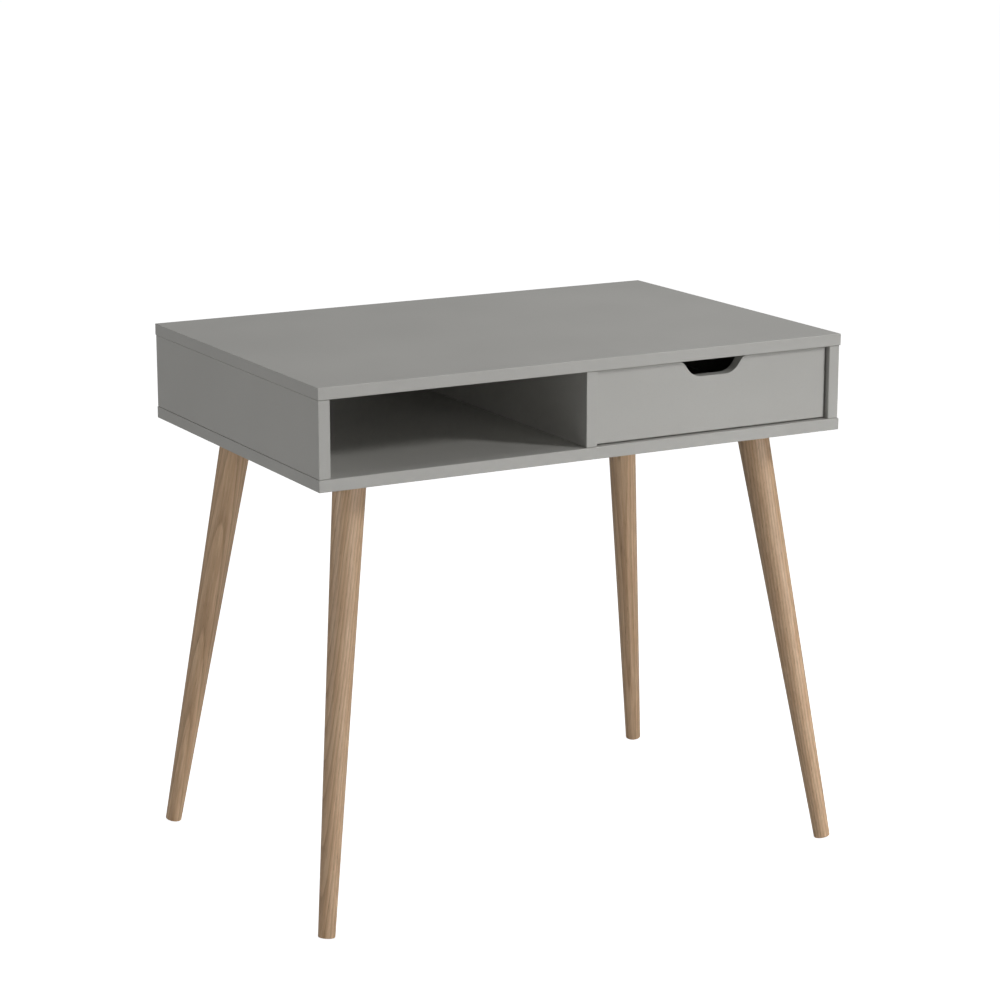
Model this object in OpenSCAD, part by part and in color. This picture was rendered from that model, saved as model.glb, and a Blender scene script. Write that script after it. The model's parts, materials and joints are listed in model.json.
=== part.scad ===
// Writing desk: a flat lacquered cabinet with one open bay and one drawer, on four splayed turned legs.
// Millimetres. +Z is up, the front faces -Y, and the origin is on the floor below the centre of the top.

/* [Overall] */
// Width of the desk top, side to side
desk_w = 812; // [680:1:1200]
// Depth of the desk top, front to back
desk_d = 543; // [520:1:700]
// Height of the desk top above the floor
desk_h = 750; // [600:1:900]
// Height of the cabinet, from its underside to the desk top
box_h = 137.5; // [136:0.5:220]

/* [Boards] */
// Thickness of the top, floor, sides, divider and drawer front
board_t = 16.5; // [15:0.5:22]
// How far the sides stand in from the ends of the top and floor
side_inset = 1; // [0:0.5:5]
// How far the sides and divider stand back from the front edge of the top
front_setback = 2; // [0:0.5:5]
// Sideways place of the divider's middle
divider_x = 1; // [-60:1:60]
// Thickness of the back panel
back_t = 4; // [3:0.5:8]
// Distance from the back panel's rear face to the rear edges
back_inset = 12; // [8:1:30]
// Depth of the grooves that hold the back panel and the drawer's floor
groove_depth = 6; // [4:0.5:8]
// Clearance round a panel in its groove
groove_play = 0.25; // [0.1:0.05:0.5]

/* [Legs] */
// Distance from an end of the top to a leg's axis, at the underside of the cabinet
leg_inset_x = 88; // [70:1:140]
// Distance from the front or rear edge of the top to a leg's axis, at the underside of the cabinet
leg_inset_y = 91; // [70:1:140]
// Lean of a leg, in degrees
leg_splay = 11; // [0:1:14]
// Diameter of a leg at its upper end
leg_top_d = 45.5; // [40:0.5:60]
// Diameter of a leg at its foot
leg_foot_d = 23.5; // [18:0.5:36]
// Rounding of the rim at the foot
foot_round = 1.5; // [0.5:0.5:3]

/* [Leg plates] */
// Side of the square steel plate over each leg
plate_w = 66; // [60:1:80]
// Thickness of the plate's flange
plate_t = 2.5; // [2:0.5:4]
// Diameter of the slanted boss under the plate
boss_d = 34; // [24:1:40]
// Clear height left under the flange at the high side of the leg's end
boss_rise = 0.5; // [0.5:0.5:4]
// Distance between the plate's screws, along a side
plate_screw_pitch = 52; // [46:1:60]
// Diameter of the hanger bolt in each leg
bolt_d = 8; // [6:1:10]
// Depth of the hanger bolt in the leg
bolt_in_leg = 40; // [30:1:60]

/* [Drawer] */
// How far the drawer's front stands back from the front edge of the top
drawer_recess = 9; // [5:0.5:15]
// Gap beside the drawer's front, on each side
gap_side = 3; // [1.5:0.5:5]
// Gap over the drawer's front
gap_top = 2; // [1.5:0.5:4]
// Gap under the drawer's front
gap_under = 2; // [1.5:0.5:4]
// Thickness of the drawer's sides and back
drawer_board_t = 12; // [10:0.5:16]
// Height of the drawer's sides
drawer_side_h = 78; // [60:1:84]
// Length of the drawer's sides
drawer_l = 450; // [380:1:500]
// Height of the drawer's sides over the cabinet floor
drawer_lift = 10; // [9:0.5:14]
// Thickness of the drawer's floor
drawer_floor_t = 3; // [3:0.5:6]
// Height of the floor's groove over the lower edge of the sides
drawer_floor_up = 10; // [8:1:14]
// Width of the finger cut-out at the front's upper edge
pull_w = 110; // [90:1:140]
// Depth of the finger cut-out
pull_h = 22.5; // [18:0.5:30]
// Slope of the cut-out's ends, in degrees
pull_slope = 53; // [45:1:60]
// Radius where an end of the cut-out meets the upper edge
pull_lip_r = 11; // [3:1:16]
// Radius where an end of the cut-out meets its bottom
pull_corner_r = 26; // [10:1:30]

/* [Runners] */
// Space between the drawer's side and the cabinet, on each side
runner_space = 12.5; // [12.5:0.5:14]
// Thickness of the runners' steel
steel_t = 1.2; // [1:0.1:1.5]
// Diameter of the rollers
roller_d = 17; // [15:0.5:17]
// Width of the rollers
roller_w = 6; // [5:0.5:6]
// Diameter of the rollers' rivets
rivet_d = 5; // [4:0.5:6]
// Radial clearance of a roller on its rivet
roller_play = 0.05; // [0.02:0.01:0.1]
// Gap between a roller and the track that it runs on
roll_gap = 0.3; // [0.3:0.05:0.5]
// How far the drawer comes out
travel = 340; // [200:5:360]

/* [Fasteners] */
// Diameter of the wooden dowels
dowel_d = 8; // [6:1:8]
// Length of the wooden dowels
dowel_l = 30; // [25:1:35]
// Diameter of the cam locks
cam_d = 15; // [12:1:15]
// Depth of a cabinet cam lock's pocket
cam_deep = 12.5; // [11:0.5:13]
// Distance from a board's end to the cam lock's middle
cam_setback = 34; // [24:1:34]
// Length of the floor screws
floor_screw_l = 50; // [40:1:60]
// Clearance round a fastener in its hole
fit_play = 0.1; // [0.05:0.05:0.2]

/* [Hidden] */
$fn = 64;
eps = 1; // how far a cut runs past a face

// Cabinet faces
front_y = -desk_d / 2;
rear_y = desk_d / 2;
under_z = desk_h - box_h;
floor_z = under_z + board_t;
roof_z = desk_h - board_t;
side_x = desk_w / 2 - side_inset;
back_y = rear_y - back_inset - back_t;
LEFT = -side_x + board_t / 2;
RIGHT = side_x - board_t / 2;
groove_y = back_y - groove_play;
groove_w = back_t + 2 * groove_play;

// Each upright: middle, and the way that its cam locks face
uprights = [[LEFT, 1], [divider_x, 1], [RIGHT, -1]];
screw_ys = [front_y + 60, rear_y - 75];
dowel_ys = [front_y + 95, rear_y - 110];
cam_thread_l = 11;
cam_thread_d = 5;
cam_stem_d = 6;
cam_head_l = 4;
cam_bore_d = 8;
floor_screw_head_d = 10;
floor_screw_head_h = 4;
floor_screw_shank_d = 7;
floor_screw_thread_d = 5;
dowel_in_face = 11;

// Legs
corners = [[-1, -1], [1, -1], [-1, 1], [1, 1]];
leg_axis_x = desk_w / 2 - leg_inset_x;
leg_axis_y = desk_d / 2 - leg_inset_y;
leg_foot_r = leg_foot_d / 2;
leg_foot_s = (under_z - (leg_foot_r - foot_round) * sin(leg_splay)) / cos(leg_splay);
leg_top_s = (plate_t + boss_rise + leg_top_d / 2 * sin(leg_splay)) / cos(leg_splay);
bolt_top_s = (0.3 + bolt_d / 2 * sin(leg_splay)) / cos(leg_splay);
plate_screw_d = 4;
plate_screw_head_d = 7.5;
plate_screw_l = 13;
plate_screw_spots = [for (sx = [-1, 1], sy = [-1, 1]) [sx * plate_screw_pitch / 2, sy * plate_screw_pitch / 2]];

// Drawer
bay_left = divider_x + board_t / 2;
bay_right = side_x - board_t;
drawer_x = (bay_left + bay_right) / 2;
drawer_front_w = bay_right - bay_left - 2 * gap_side;
drawer_front_y = front_y + drawer_recess;
drawer_box_y = drawer_front_y + board_t;
drawer_end_y = drawer_box_y + drawer_l;
drawer_box_w = bay_right - bay_left - 2 * runner_space;
drawer_front_z = floor_z + gap_under;
drawer_front_top = roof_z - gap_top;
drawer_z = floor_z + drawer_lift;
drawer_floor_z = drawer_z + drawer_floor_up;
drawer_floor_top = drawer_floor_z + drawer_floor_t;
drawer_inner_w = drawer_box_w - 2 * drawer_board_t;
drawer_cam_deep = 9.5;
drawer_cam_setback = 24;
drawer_cam_z = drawer_z + drawer_side_h / 2;
drawer_dowel_zs = [drawer_z + 24, drawer_z + drawer_side_h - 14];
drawer_dowel_d = 6;
back_screw_d = 4;
back_screw_l = 35;
back_screw_head_d = 7;
back_screw_head_h = 3;

// Runners, in a frame with the cabinet wall at u = 0 and the drawer at u = runner_space
rail_u = runner_space - steel_t;
rear_roller_z = drawer_z + 10;
channel_z = rear_roller_z - roller_d / 2 - roll_gap;
channel_top = rear_roller_z + roller_d / 2 + 1;
rail_top = channel_top - 0.5;
front_roller_z = rail_top - steel_t - roll_gap - roller_d / 2;
lip_w = 8;
upper_lip_w = 6;
rail_w = 7.5;
roller_side_play = 0.6;
front_roller_u = steel_t + roller_side_play;
rear_roller_u = rail_u - roller_side_play - roller_w;
runner_front_y = drawer_box_y + 2;
front_roller_y = runner_front_y + roller_d / 2 + 1;
rear_roller_y = drawer_end_y - roller_d / 2 - 3;
runner_rear_y = rear_roller_y + roller_d / 2 + 2;
stop_h = 3.5;
stop_reach = sqrt(pow(roller_d / 2, 2) - pow(roller_d / 2 - stop_h, 2));
stop_play = 0.3;
stop_y = rear_roller_y - travel - stop_reach - stop_play;
rivet_head_d = 8;
rivet_head_t = 0.9;
runner_screw_d = 3.5;
runner_screw_head_d = 6.5;
runner_screw_head_t = 1.6;
cabinet_screw_l = 13;
drawer_screw_l = 9;
cabinet_screw_ys = [for (k = [0.14, 0.5, 0.88]) runner_front_y + k * (runner_rear_y - runner_front_y)];
drawer_screw_ys = [for (k = [0.1, 0.45, 0.82]) drawer_box_y + k * drawer_l];
channel_mid_z = (channel_z + channel_top) / 2;
drawer_screw_z = drawer_z + 4.5;

// Colours
GREY = [0.60, 0.60, 0.57];
BEECH = [0.78, 0.62, 0.46];
ZINC = [0.72, 0.73, 0.74];
WHITE = [0.93, 0.93, 0.92];
PINE = [0.87, 0.75, 0.55];

// A box from its lowest to its highest corner
module block(low, high) {
    translate(low) cube(high - low);
}

// A cylinder that starts at a point and runs along +X or -X
module rod_x(start, d, l, way = 1) {
    translate(start) rotate([0, way * 90, 0]) cylinder(d = d, h = l);
}

// A cylinder that starts at a point and runs along +Y or -Y
module rod_y(start, d, l, way = 1) {
    translate(start) rotate([-way * 90, 0, 0]) cylinder(d = d, h = l);
}

// Puts its children in a leg's frame: -Z runs down the leg's axis, from the underside of the cabinet
module at_leg(sx, sy) {
    translate([sx * leg_axis_x, sy * leg_axis_y, under_z])
        rotate([0, 0, atan2(sy, sx)]) rotate([0, -leg_splay, 0]) children();
}

// Puts its children level over a leg, turned to the leg's diagonal
module over_leg(sx, sy) {
    translate([sx * leg_axis_x, sy * leg_axis_y, under_z]) rotate([0, 0, atan2(sy, sx)]) children();
}

// Puts its children in a runner's frame: +X runs from the cabinet wall towards the drawer
module at_runner(side) {
    if (side < 0) translate([bay_left, 0, 0]) children();
    else translate([bay_right, 0, 0]) mirror([1, 0, 0]) children();
}

// ---- Cabinet ----

// Holes in the top or floor for the cam bolts or floor screws, and the dowels
module dowel_holes(z) {
    for (u = uprights, y = dowel_ys)
        translate([u[0], y, z]) cylinder(d = dowel_d + 2 * fit_play, h = 2 * dowel_in_face, center = true);
}

module top_panel() {
    color(GREY) difference() {
        block([-desk_w / 2, front_y, roof_z], [desk_w / 2, rear_y, desk_h]);
        dowel_holes(roof_z);
        for (u = uprights, y = screw_ys)
            translate([u[0], y, roof_z - eps])
                cylinder(d = cam_thread_d + 2 * fit_play, h = cam_thread_l + fit_play + eps);
        block([-side_x, groove_y, roof_z - eps], [side_x, groove_y + groove_w, roof_z + groove_depth]);
    }
}

module bottom_panel() {
    color(GREY) difference() {
        block([-desk_w / 2, front_y, under_z], [desk_w / 2, rear_y, floor_z]);
        dowel_holes(floor_z);
        for (u = uprights, y = screw_ys) translate([u[0], y, under_z]) {
            translate([0, 0, -eps]) cylinder(d = floor_screw_shank_d + 2 * fit_play, h = board_t + 2 * eps);
            translate([0, 0, -eps])
                cylinder(d = floor_screw_head_d + 2 * fit_play, h = floor_screw_head_h + fit_play + eps);
        }
        block([-side_x, groove_y, floor_z - groove_depth], [side_x, groove_y + groove_w, floor_z + eps]);
        for (c = corners, s = plate_screw_spots) over_leg(c[0], c[1])
            translate([s[0], s[1], -eps])
                cylinder(d = plate_screw_d + 2 * fit_play, h = plate_screw_l - plate_t + eps);
    }
}

// Everything bored in an upright: dowels, cam locks with their bolts, floor screws
module upright_bores(x, cam_way) {
    for (y = dowel_ys, end = [[floor_z, 1], [roof_z, -1]])
        translate([x, y, end[0] - (end[1] > 0 ? eps : dowel_l - dowel_in_face + fit_play)])
            cylinder(d = dowel_d + 2 * fit_play, h = dowel_l - dowel_in_face + fit_play + eps);
    for (y = screw_ys) {
        translate([x, y, roof_z - cam_setback]) cylinder(d = cam_bore_d, h = cam_setback + eps);
        rod_x([x + cam_way * (board_t / 2 + eps), y, roof_z - cam_setback],
            cam_d + 2 * fit_play, cam_deep + eps, -cam_way);
        translate([x, y, floor_z - eps])
            cylinder(d = floor_screw_thread_d + 2 * fit_play, h = floor_screw_l - board_t + 1 + eps);
    }
}

module upright(x, cam_way, end_y) {
    difference() {
        block([x - board_t / 2, front_y + front_setback, floor_z], [x + board_t / 2, end_y, roof_z]);
        upright_bores(x, cam_way);
    }
}

// The holes for a cabinet runner's screws, in the board that it is fixed to
module runner_pilots(side) {
    for (y = cabinet_screw_ys) at_runner(side)
        rod_x([eps, y, channel_mid_z], runner_screw_d + 2 * fit_play, cabinet_screw_l - steel_t + fit_play + eps, -1);
}

// A side of the cabinet, grooved for the back panel; way is -1 for the left one
module side_panel(way) {
    x = way * (side_x - board_t / 2);
    inner = way * (side_x - board_t);
    color(GREY) difference() {
        upright(x, -way, rear_y);
        block([min(inner - way * eps, inner + way * groove_depth), groove_y, floor_z - eps],
            [max(inner - way * eps, inner + way * groove_depth), groove_y + groove_w, roof_z + eps]);
        if (way > 0) runner_pilots(1);
    }
}

module divider_panel() {
    color(GREY) difference() {
        upright(divider_x, 1, back_y - groove_play);
        runner_pilots(-1);
    }
}

module back_panel() {
    reach = groove_depth - groove_play;
    color(GREY) block([-side_x + board_t - reach, back_y, floor_z - reach],
        [side_x - board_t + reach, back_y + back_t, roof_z + reach]);
}

module cabinet_cam_locks() {
    color(ZINC) for (u = uprights, y = screw_ys)
        difference() {
            rod_x([u[0] + u[1] * board_t / 2, y, roof_z - cam_setback], cam_d, cam_deep - fit_play, -u[1]);
            translate([u[0], y, roof_z - cam_setback - cam_stem_d / 2]) cylinder(d = cam_bore_d, h = cam_d);
            translate([u[0] + u[1] * board_t / 2, y, roof_z - cam_setback]) cube([3, 8, 1.6], center = true);
            translate([u[0] + u[1] * board_t / 2, y, roof_z - cam_setback]) cube([3, 1.6, 8], center = true);
        }
}

module cabinet_cam_bolts() {
    color(ZINC) for (u = uprights, y = screw_ys) translate([u[0], y, roof_z]) {
        cylinder(d = cam_thread_d, h = cam_thread_l);
        translate([0, 0, -cam_setback + cam_head_l - 1]) cylinder(d = cam_stem_d, h = cam_setback - cam_head_l + 1);
        translate([0, 0, -cam_setback]) cylinder(d = cam_stem_d + 1, h = cam_head_l);
    }
}

module dowel(d, l) {
    tip = 1;
    cylinder(d1 = d - 2 * tip, d2 = d, h = tip);
    translate([0, 0, tip]) cylinder(d = d, h = l - 2 * tip);
    translate([0, 0, l - tip]) cylinder(d1 = d, d2 = d - 2 * tip, h = tip);
}

module cabinet_dowels() {
    color(PINE) for (u = uprights, y = dowel_ys) {
        translate([u[0], y, floor_z - dowel_in_face + fit_play]) dowel(dowel_d, dowel_l - fit_play);
        translate([u[0], y, roof_z + dowel_in_face - dowel_l]) dowel(dowel_d, dowel_l - fit_play);
    }
}

module floor_screws() {
    socket_d = 4;
    color(ZINC) for (u = uprights, y = screw_ys) translate([u[0], y, under_z]) difference() {
        union() {
            cylinder(d = floor_screw_head_d, h = floor_screw_head_h);
            translate([0, 0, floor_screw_head_h]) cylinder(d = floor_screw_shank_d, h = board_t - floor_screw_head_h);
            translate([0, 0, board_t]) cylinder(d = floor_screw_thread_d, h = floor_screw_l - board_t);
        }
        translate([0, 0, -eps]) cylinder(d = socket_d, h = 2.5 + eps, $fn = 6);
    }
}

// ---- Legs ----

// Half outline of a leg: radius against height, from the foot up, with the rim at the foot rounded
function leg_outline(top_s) = concat(
    [[0, -leg_foot_s]],
    [for (a = [-90:22.5:0]) [leg_foot_r - foot_round + foot_round * cos(a), -leg_foot_s + foot_round + foot_round * sin(a)]],
    [[leg_top_d / 2 - 1, -top_s - 1], [leg_top_d / 2 - 2, -top_s], [0, -top_s]]);

module leg(sx, sy) {
    color(BEECH) at_leg(sx, sy) difference() {
        rotate_extrude() polygon(leg_outline(leg_top_s));
        translate([0, 0, -leg_top_s - bolt_in_leg - 2])
            cylinder(d = bolt_d + 2 * fit_play, h = bolt_in_leg + 2 + eps);
    }
}

module leg_plate(sx, sy) {
    color(ZINC) difference() {
        union() {
            over_leg(sx, sy) block([-plate_w / 2, -plate_w / 2, -plate_t], [plate_w / 2, plate_w / 2, 0]);
            intersection() {
                at_leg(sx, sy) translate([0, 0, -leg_top_s]) cylinder(d = boss_d, h = 2 * leg_top_s);
                over_leg(sx, sy) block([-plate_w, -plate_w, -3 * leg_top_s], [plate_w, plate_w, -plate_t / 2]);
            }
        }
        at_leg(sx, sy) translate([0, 0, -2 * leg_top_s]) cylinder(d = bolt_d + 2 * fit_play, h = 4 * leg_top_s);
        over_leg(sx, sy) for (s = plate_screw_spots) translate([s[0], s[1], 0]) {
            translate([0, 0, -plate_t - eps]) cylinder(d = plate_screw_d + 0.6, h = plate_t + 2 * eps);
            translate([0, 0, -plate_t - fit_play])
                cylinder(d1 = plate_screw_head_d + 0.6, d2 = plate_screw_d + 0.6, h = plate_t * 0.8);
        }
    }
}

module leg_hanger_bolts() {
    tip = 4;
    color(ZINC) for (c = corners) at_leg(c[0], c[1]) {
        translate([0, 0, -leg_top_s - bolt_in_leg + tip])
            cylinder(d = bolt_d, h = leg_top_s + bolt_in_leg - tip - bolt_top_s);
        translate([0, 0, -leg_top_s - bolt_in_leg]) cylinder(d1 = 2, d2 = bolt_d, h = tip);
    }
}

module leg_plate_screws() {
    color(ZINC) for (c = corners, s = plate_screw_spots) over_leg(c[0], c[1]) translate([s[0], s[1], 0])
        difference() {
            union() {
                translate([0, 0, -plate_t - fit_play])
                    cylinder(d1 = plate_screw_head_d, d2 = plate_screw_d, h = plate_t * 0.8);
                translate([0, 0, -plate_t]) cylinder(d = plate_screw_d, h = plate_screw_l - 3);
                translate([0, 0, plate_screw_l - 3 - plate_t]) cylinder(d1 = plate_screw_d, d2 = 1, h = 2.5);
            }
            for (a = [0, 90]) rotate([0, 0, a])
                translate([-2, -0.45, -plate_t - fit_play - eps]) cube([4, 0.9, 1 + eps]);
        }
}

// ---- Drawer ----

// Left half of the finger cut-out, from the upper edge down to the middle of its bottom
function pull_half() =
    let (rise = 1 - cos(pull_slope),
        lip_x = -pull_w / 2,
        slope_l = (pull_h - (pull_lip_r + pull_corner_r) * rise) / sin(pull_slope),
        corner_x = lip_x + pull_lip_r * sin(pull_slope) + slope_l * cos(pull_slope) + pull_corner_r * sin(pull_slope),
        steps = 12)
    concat(
        [for (k = [0:steps]) let (a = 90 - pull_slope * k / steps)
            [lip_x + pull_lip_r * cos(a), -pull_lip_r + pull_lip_r * sin(a)]],
        [for (k = [0:steps]) let (a = 270 - pull_slope * (1 - k / steps))
            [corner_x + pull_corner_r * cos(a), -pull_h + pull_corner_r + pull_corner_r * sin(a)]]);

// The whole cut-out, closed above the edge that it is cut in
function pull_outline() =
    let (left = pull_half(), n = len(left))
    concat([[-pull_w / 2, 2 * eps]], left, [for (k = [n - 1:-1:0]) [-left[k][0], left[k][1]]], [[pull_w / 2, 2 * eps]]);

module drawer_front() {
    color(GREY) difference() {
        block([drawer_x - drawer_front_w / 2, drawer_front_y, drawer_front_z],
            [drawer_x + drawer_front_w / 2, drawer_box_y, drawer_front_top]);
        translate([drawer_x, drawer_box_y + eps, drawer_front_top]) rotate([90, 0, 0])
            linear_extrude(board_t + 2 * eps) polygon(pull_outline());
        block([drawer_x - drawer_inner_w / 2 - groove_depth, drawer_box_y - groove_depth, drawer_floor_z - groove_play],
            [drawer_x + drawer_inner_w / 2 + groove_depth, drawer_box_y + eps, drawer_floor_top + groove_play]);
        for (way = [-1, 1]) {
            x = drawer_x + way * (drawer_box_w - drawer_board_t) / 2;
            for (z = drawer_dowel_zs)
                rod_y([x, drawer_box_y + eps, z], drawer_dowel_d + 2 * fit_play, dowel_in_face + eps, -1);
            rod_y([x, drawer_box_y + eps, drawer_cam_z], cam_thread_d + 2 * fit_play, cam_thread_l + fit_play + eps, -1);
        }
    }
}

// A side of the drawer; way is -1 for the left one
module drawer_side(way) {
    x = drawer_x + way * (drawer_box_w - drawer_board_t) / 2;
    outer = drawer_x + way * drawer_box_w / 2;
    inner = drawer_x + way * drawer_inner_w / 2;
    color(GREY) difference() {
        block([x - drawer_board_t / 2, drawer_box_y, drawer_z],
            [x + drawer_board_t / 2, drawer_end_y, drawer_z + drawer_side_h]);
        block([min(inner - way * eps, inner + way * groove_depth), drawer_box_y - eps, drawer_floor_z - groove_play],
            [max(inner - way * eps, inner + way * groove_depth), drawer_end_y + eps, drawer_floor_top + groove_play]);
        for (z = drawer_dowel_zs)
            rod_y([x, drawer_box_y - eps, z], drawer_dowel_d + 2 * fit_play, dowel_l - dowel_in_face + eps);
        rod_y([x, drawer_box_y - eps, drawer_cam_z], cam_bore_d, drawer_cam_setback + eps);
        rod_x([inner - way * eps, drawer_box_y + drawer_cam_setback, drawer_cam_z],
            cam_d + 2 * fit_play, drawer_cam_deep + eps, way);
        for (z = drawer_dowel_zs)
            rod_x([outer + way * eps, drawer_end_y - drawer_board_t / 2, z],
                back_screw_d + 2 * fit_play, drawer_board_t + 2 * eps, -way);
        for (z = drawer_dowel_zs)
            rod_x([outer + way * eps, drawer_end_y - drawer_board_t / 2, z],
                back_screw_head_d + 2 * fit_play, back_screw_head_h + eps, -way);
        for (y = drawer_screw_ys)
            rod_x([outer + way * eps, y, drawer_screw_z],
                runner_screw_d + 2 * fit_play, drawer_screw_l - steel_t + fit_play + eps, -way);
    }
}

module drawer_back() {
    color(GREY) difference() {
        block([drawer_x - drawer_inner_w / 2, drawer_end_y - drawer_board_t, drawer_floor_top + groove_play],
            [drawer_x + drawer_inner_w / 2, drawer_end_y, drawer_z + drawer_side_h]);
        for (way = [-1, 1], z = drawer_dowel_zs)
            rod_x([drawer_x + way * (drawer_inner_w / 2 + eps), drawer_end_y - drawer_board_t / 2, z],
                back_screw_d + 2 * fit_play, back_screw_l - drawer_board_t + eps, -way);
    }
}

module drawer_floor() {
    reach = groove_depth - groove_play;
    color(GREY) block([drawer_x - drawer_inner_w / 2 - reach, drawer_box_y - reach, drawer_floor_z],
        [drawer_x + drawer_inner_w / 2 + reach, drawer_end_y, drawer_floor_top]);
}

module drawer_cam_locks() {
    color(ZINC) for (way = [-1, 1]) {
        inner = drawer_x + way * drawer_inner_w / 2;
        x = drawer_x + way * (drawer_box_w - drawer_board_t) / 2;
        y = drawer_box_y + drawer_cam_setback;
        difference() {
            rod_x([inner, y, drawer_cam_z], cam_d, drawer_cam_deep - fit_play, way);
            rod_y([x, y + cam_stem_d / 2, drawer_cam_z], cam_bore_d, cam_d, -1);
            translate([inner, y, drawer_cam_z]) cube([2, 8, 1.6], center = true);
            translate([inner, y, drawer_cam_z]) cube([2, 1.6, 8], center = true);
        }
    }
}

module drawer_cam_bolts() {
    color(ZINC) for (way = [-1, 1])
        translate([drawer_x + way * (drawer_box_w - drawer_board_t) / 2, drawer_box_y, drawer_cam_z]) {
            rod_y([0, 0, 0], cam_thread_d, cam_thread_l, -1);
            rod_y([0, 0, 0], cam_stem_d, drawer_cam_setback - cam_head_l + 1);
            rod_y([0, drawer_cam_setback - cam_head_l, 0], cam_stem_d + 1, cam_head_l);
        }
}

module drawer_dowels() {
    color(PINE) for (way = [-1, 1], z = drawer_dowel_zs)
        translate([drawer_x + way * (drawer_box_w - drawer_board_t) / 2, drawer_box_y - dowel_in_face + fit_play, z])
            rotate([-90, 0, 0]) dowel(drawer_dowel_d, dowel_l - 2 * fit_play);
}

module drawer_back_screws() {
    color(ZINC) for (way = [-1, 1], z = drawer_dowel_zs) {
        outer = [drawer_x + way * drawer_box_w / 2, drawer_end_y - drawer_board_t / 2, z];
        difference() {
            union() {
                rod_x(outer, back_screw_head_d, back_screw_head_h, -way);
                rod_x(outer, back_screw_d, back_screw_l - fit_play, -way);
            }
            translate(outer) cube([2, 4, 0.9], center = true);
            translate(outer) cube([2, 0.9, 4], center = true);
        }
    }
}

// ---- Runners ----

module cabinet_runner(side) {
    lip_y = front_roller_y + roller_d / 2 + 2;
    color(WHITE) at_runner(side) difference() {
        union() {
            block([0, runner_front_y, channel_z - steel_t], [steel_t, runner_rear_y, channel_top + steel_t]);
            block([0, lip_y, channel_z - steel_t], [steel_t + lip_w, runner_rear_y, channel_z]);
            block([0, runner_front_y, channel_top], [steel_t + upper_lip_w, runner_rear_y, channel_top + steel_t]);
            block([0, runner_rear_y - steel_t, channel_z - steel_t],
                [steel_t + lip_w, runner_rear_y, channel_top + steel_t]);
            block([steel_t + lip_w - 4, stop_y - steel_t, channel_z - steel_t],
                [steel_t + lip_w, stop_y, channel_z + stop_h]);
        }
        rod_x([-eps, front_roller_y, front_roller_z], rivet_d + 2 * fit_play, steel_t + 2 * eps);
        for (y = cabinet_screw_ys)
            rod_x([-eps, y, channel_mid_z], runner_screw_d + 2 * fit_play, steel_t + 2 * eps);
    }
}

module drawer_runner(side) {
    flange_w = 10;
    color(WHITE) at_runner(side) difference() {
        union() {
            block([rail_u, drawer_box_y, drawer_z - steel_t], [runner_space, drawer_end_y, rail_top]);
            block([rail_u - rail_w, drawer_box_y, rail_top - steel_t],
                [runner_space, rear_roller_y - roller_d / 2 - 2, rail_top]);
            block([rail_u, drawer_box_y, drawer_z - steel_t], [runner_space + flange_w, drawer_end_y, drawer_z]);
        }
        rod_x([rail_u - eps, rear_roller_y, rear_roller_z], rivet_d + 2 * fit_play, steel_t + 2 * eps);
        for (y = drawer_screw_ys)
            rod_x([rail_u - eps, y, drawer_screw_z], runner_screw_d + 2 * fit_play, steel_t + 2 * eps);
    }
}

// A roller with a hub and a shallow dish on each side, in a runner's frame
module roller(side, u, y, z) {
    hub_d = rivet_d + 4;
    dish_d = roller_d - 3;
    color(WHITE) at_runner(side) translate([u, y, z]) rotate([0, 90, 0]) difference() {
        cylinder(d = roller_d, h = roller_w);
        translate([0, 0, -eps]) cylinder(r = rivet_d / 2 + roller_play, h = roller_w + 2 * eps);
        for (h = [-eps, roller_w - 0.6]) translate([0, 0, h]) difference() {
            cylinder(d = dish_d, h = 0.6 + eps);
            translate([0, 0, -eps]) cylinder(d = hub_d, h = 4 * eps);
        }
    }
}

// The rivet that a roller turns on, from the runner's web to a head past the roller
module rivet(side, web_u, roller_u, y, z, way) {
    end_u = way > 0 ? roller_u + roller_w + roller_play : roller_u - roller_play;
    at_runner(side) {
        rod_x([web_u, y, z], rivet_d, abs(end_u - web_u), way);
        rod_x([end_u, y, z], rivet_head_d, rivet_head_t, way);
    }
}

module cabinet_roller_rivets() {
    color(ZINC) for (side = [-1, 1]) rivet(side, 0, front_roller_u, front_roller_y, front_roller_z, 1);
}

module drawer_roller_rivets() {
    color(ZINC) for (side = [-1, 1]) rivet(side, runner_space, rear_roller_u, rear_roller_y, rear_roller_z, -1);
}

// A pan-head screw that holds a runner: its head sits at head_u and the shank runs towards the board
module runner_screw(side, head_u, y, z, l, way) {
    at_runner(side) difference() {
        union() {
            rod_x([head_u, y, z], runner_screw_head_d, runner_screw_head_t, -way);
            rod_x([head_u, y, z], runner_screw_d, l, way);
        }
        translate([head_u - way * runner_screw_head_t, y, z]) cube([1.6, 4, 0.8], center = true);
        translate([head_u - way * runner_screw_head_t, y, z]) cube([1.6, 0.8, 4], center = true);
    }
}

module cabinet_runner_screws() {
    color(ZINC) for (side = [-1, 1], y = cabinet_screw_ys)
        runner_screw(side, steel_t, y, channel_mid_z, cabinet_screw_l, -1);
}

module drawer_runner_screws() {
    color(ZINC) for (side = [-1, 1], y = drawer_screw_ys)
        runner_screw(side, rail_u, y, drawer_screw_z, drawer_screw_l, 1);
}

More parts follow.
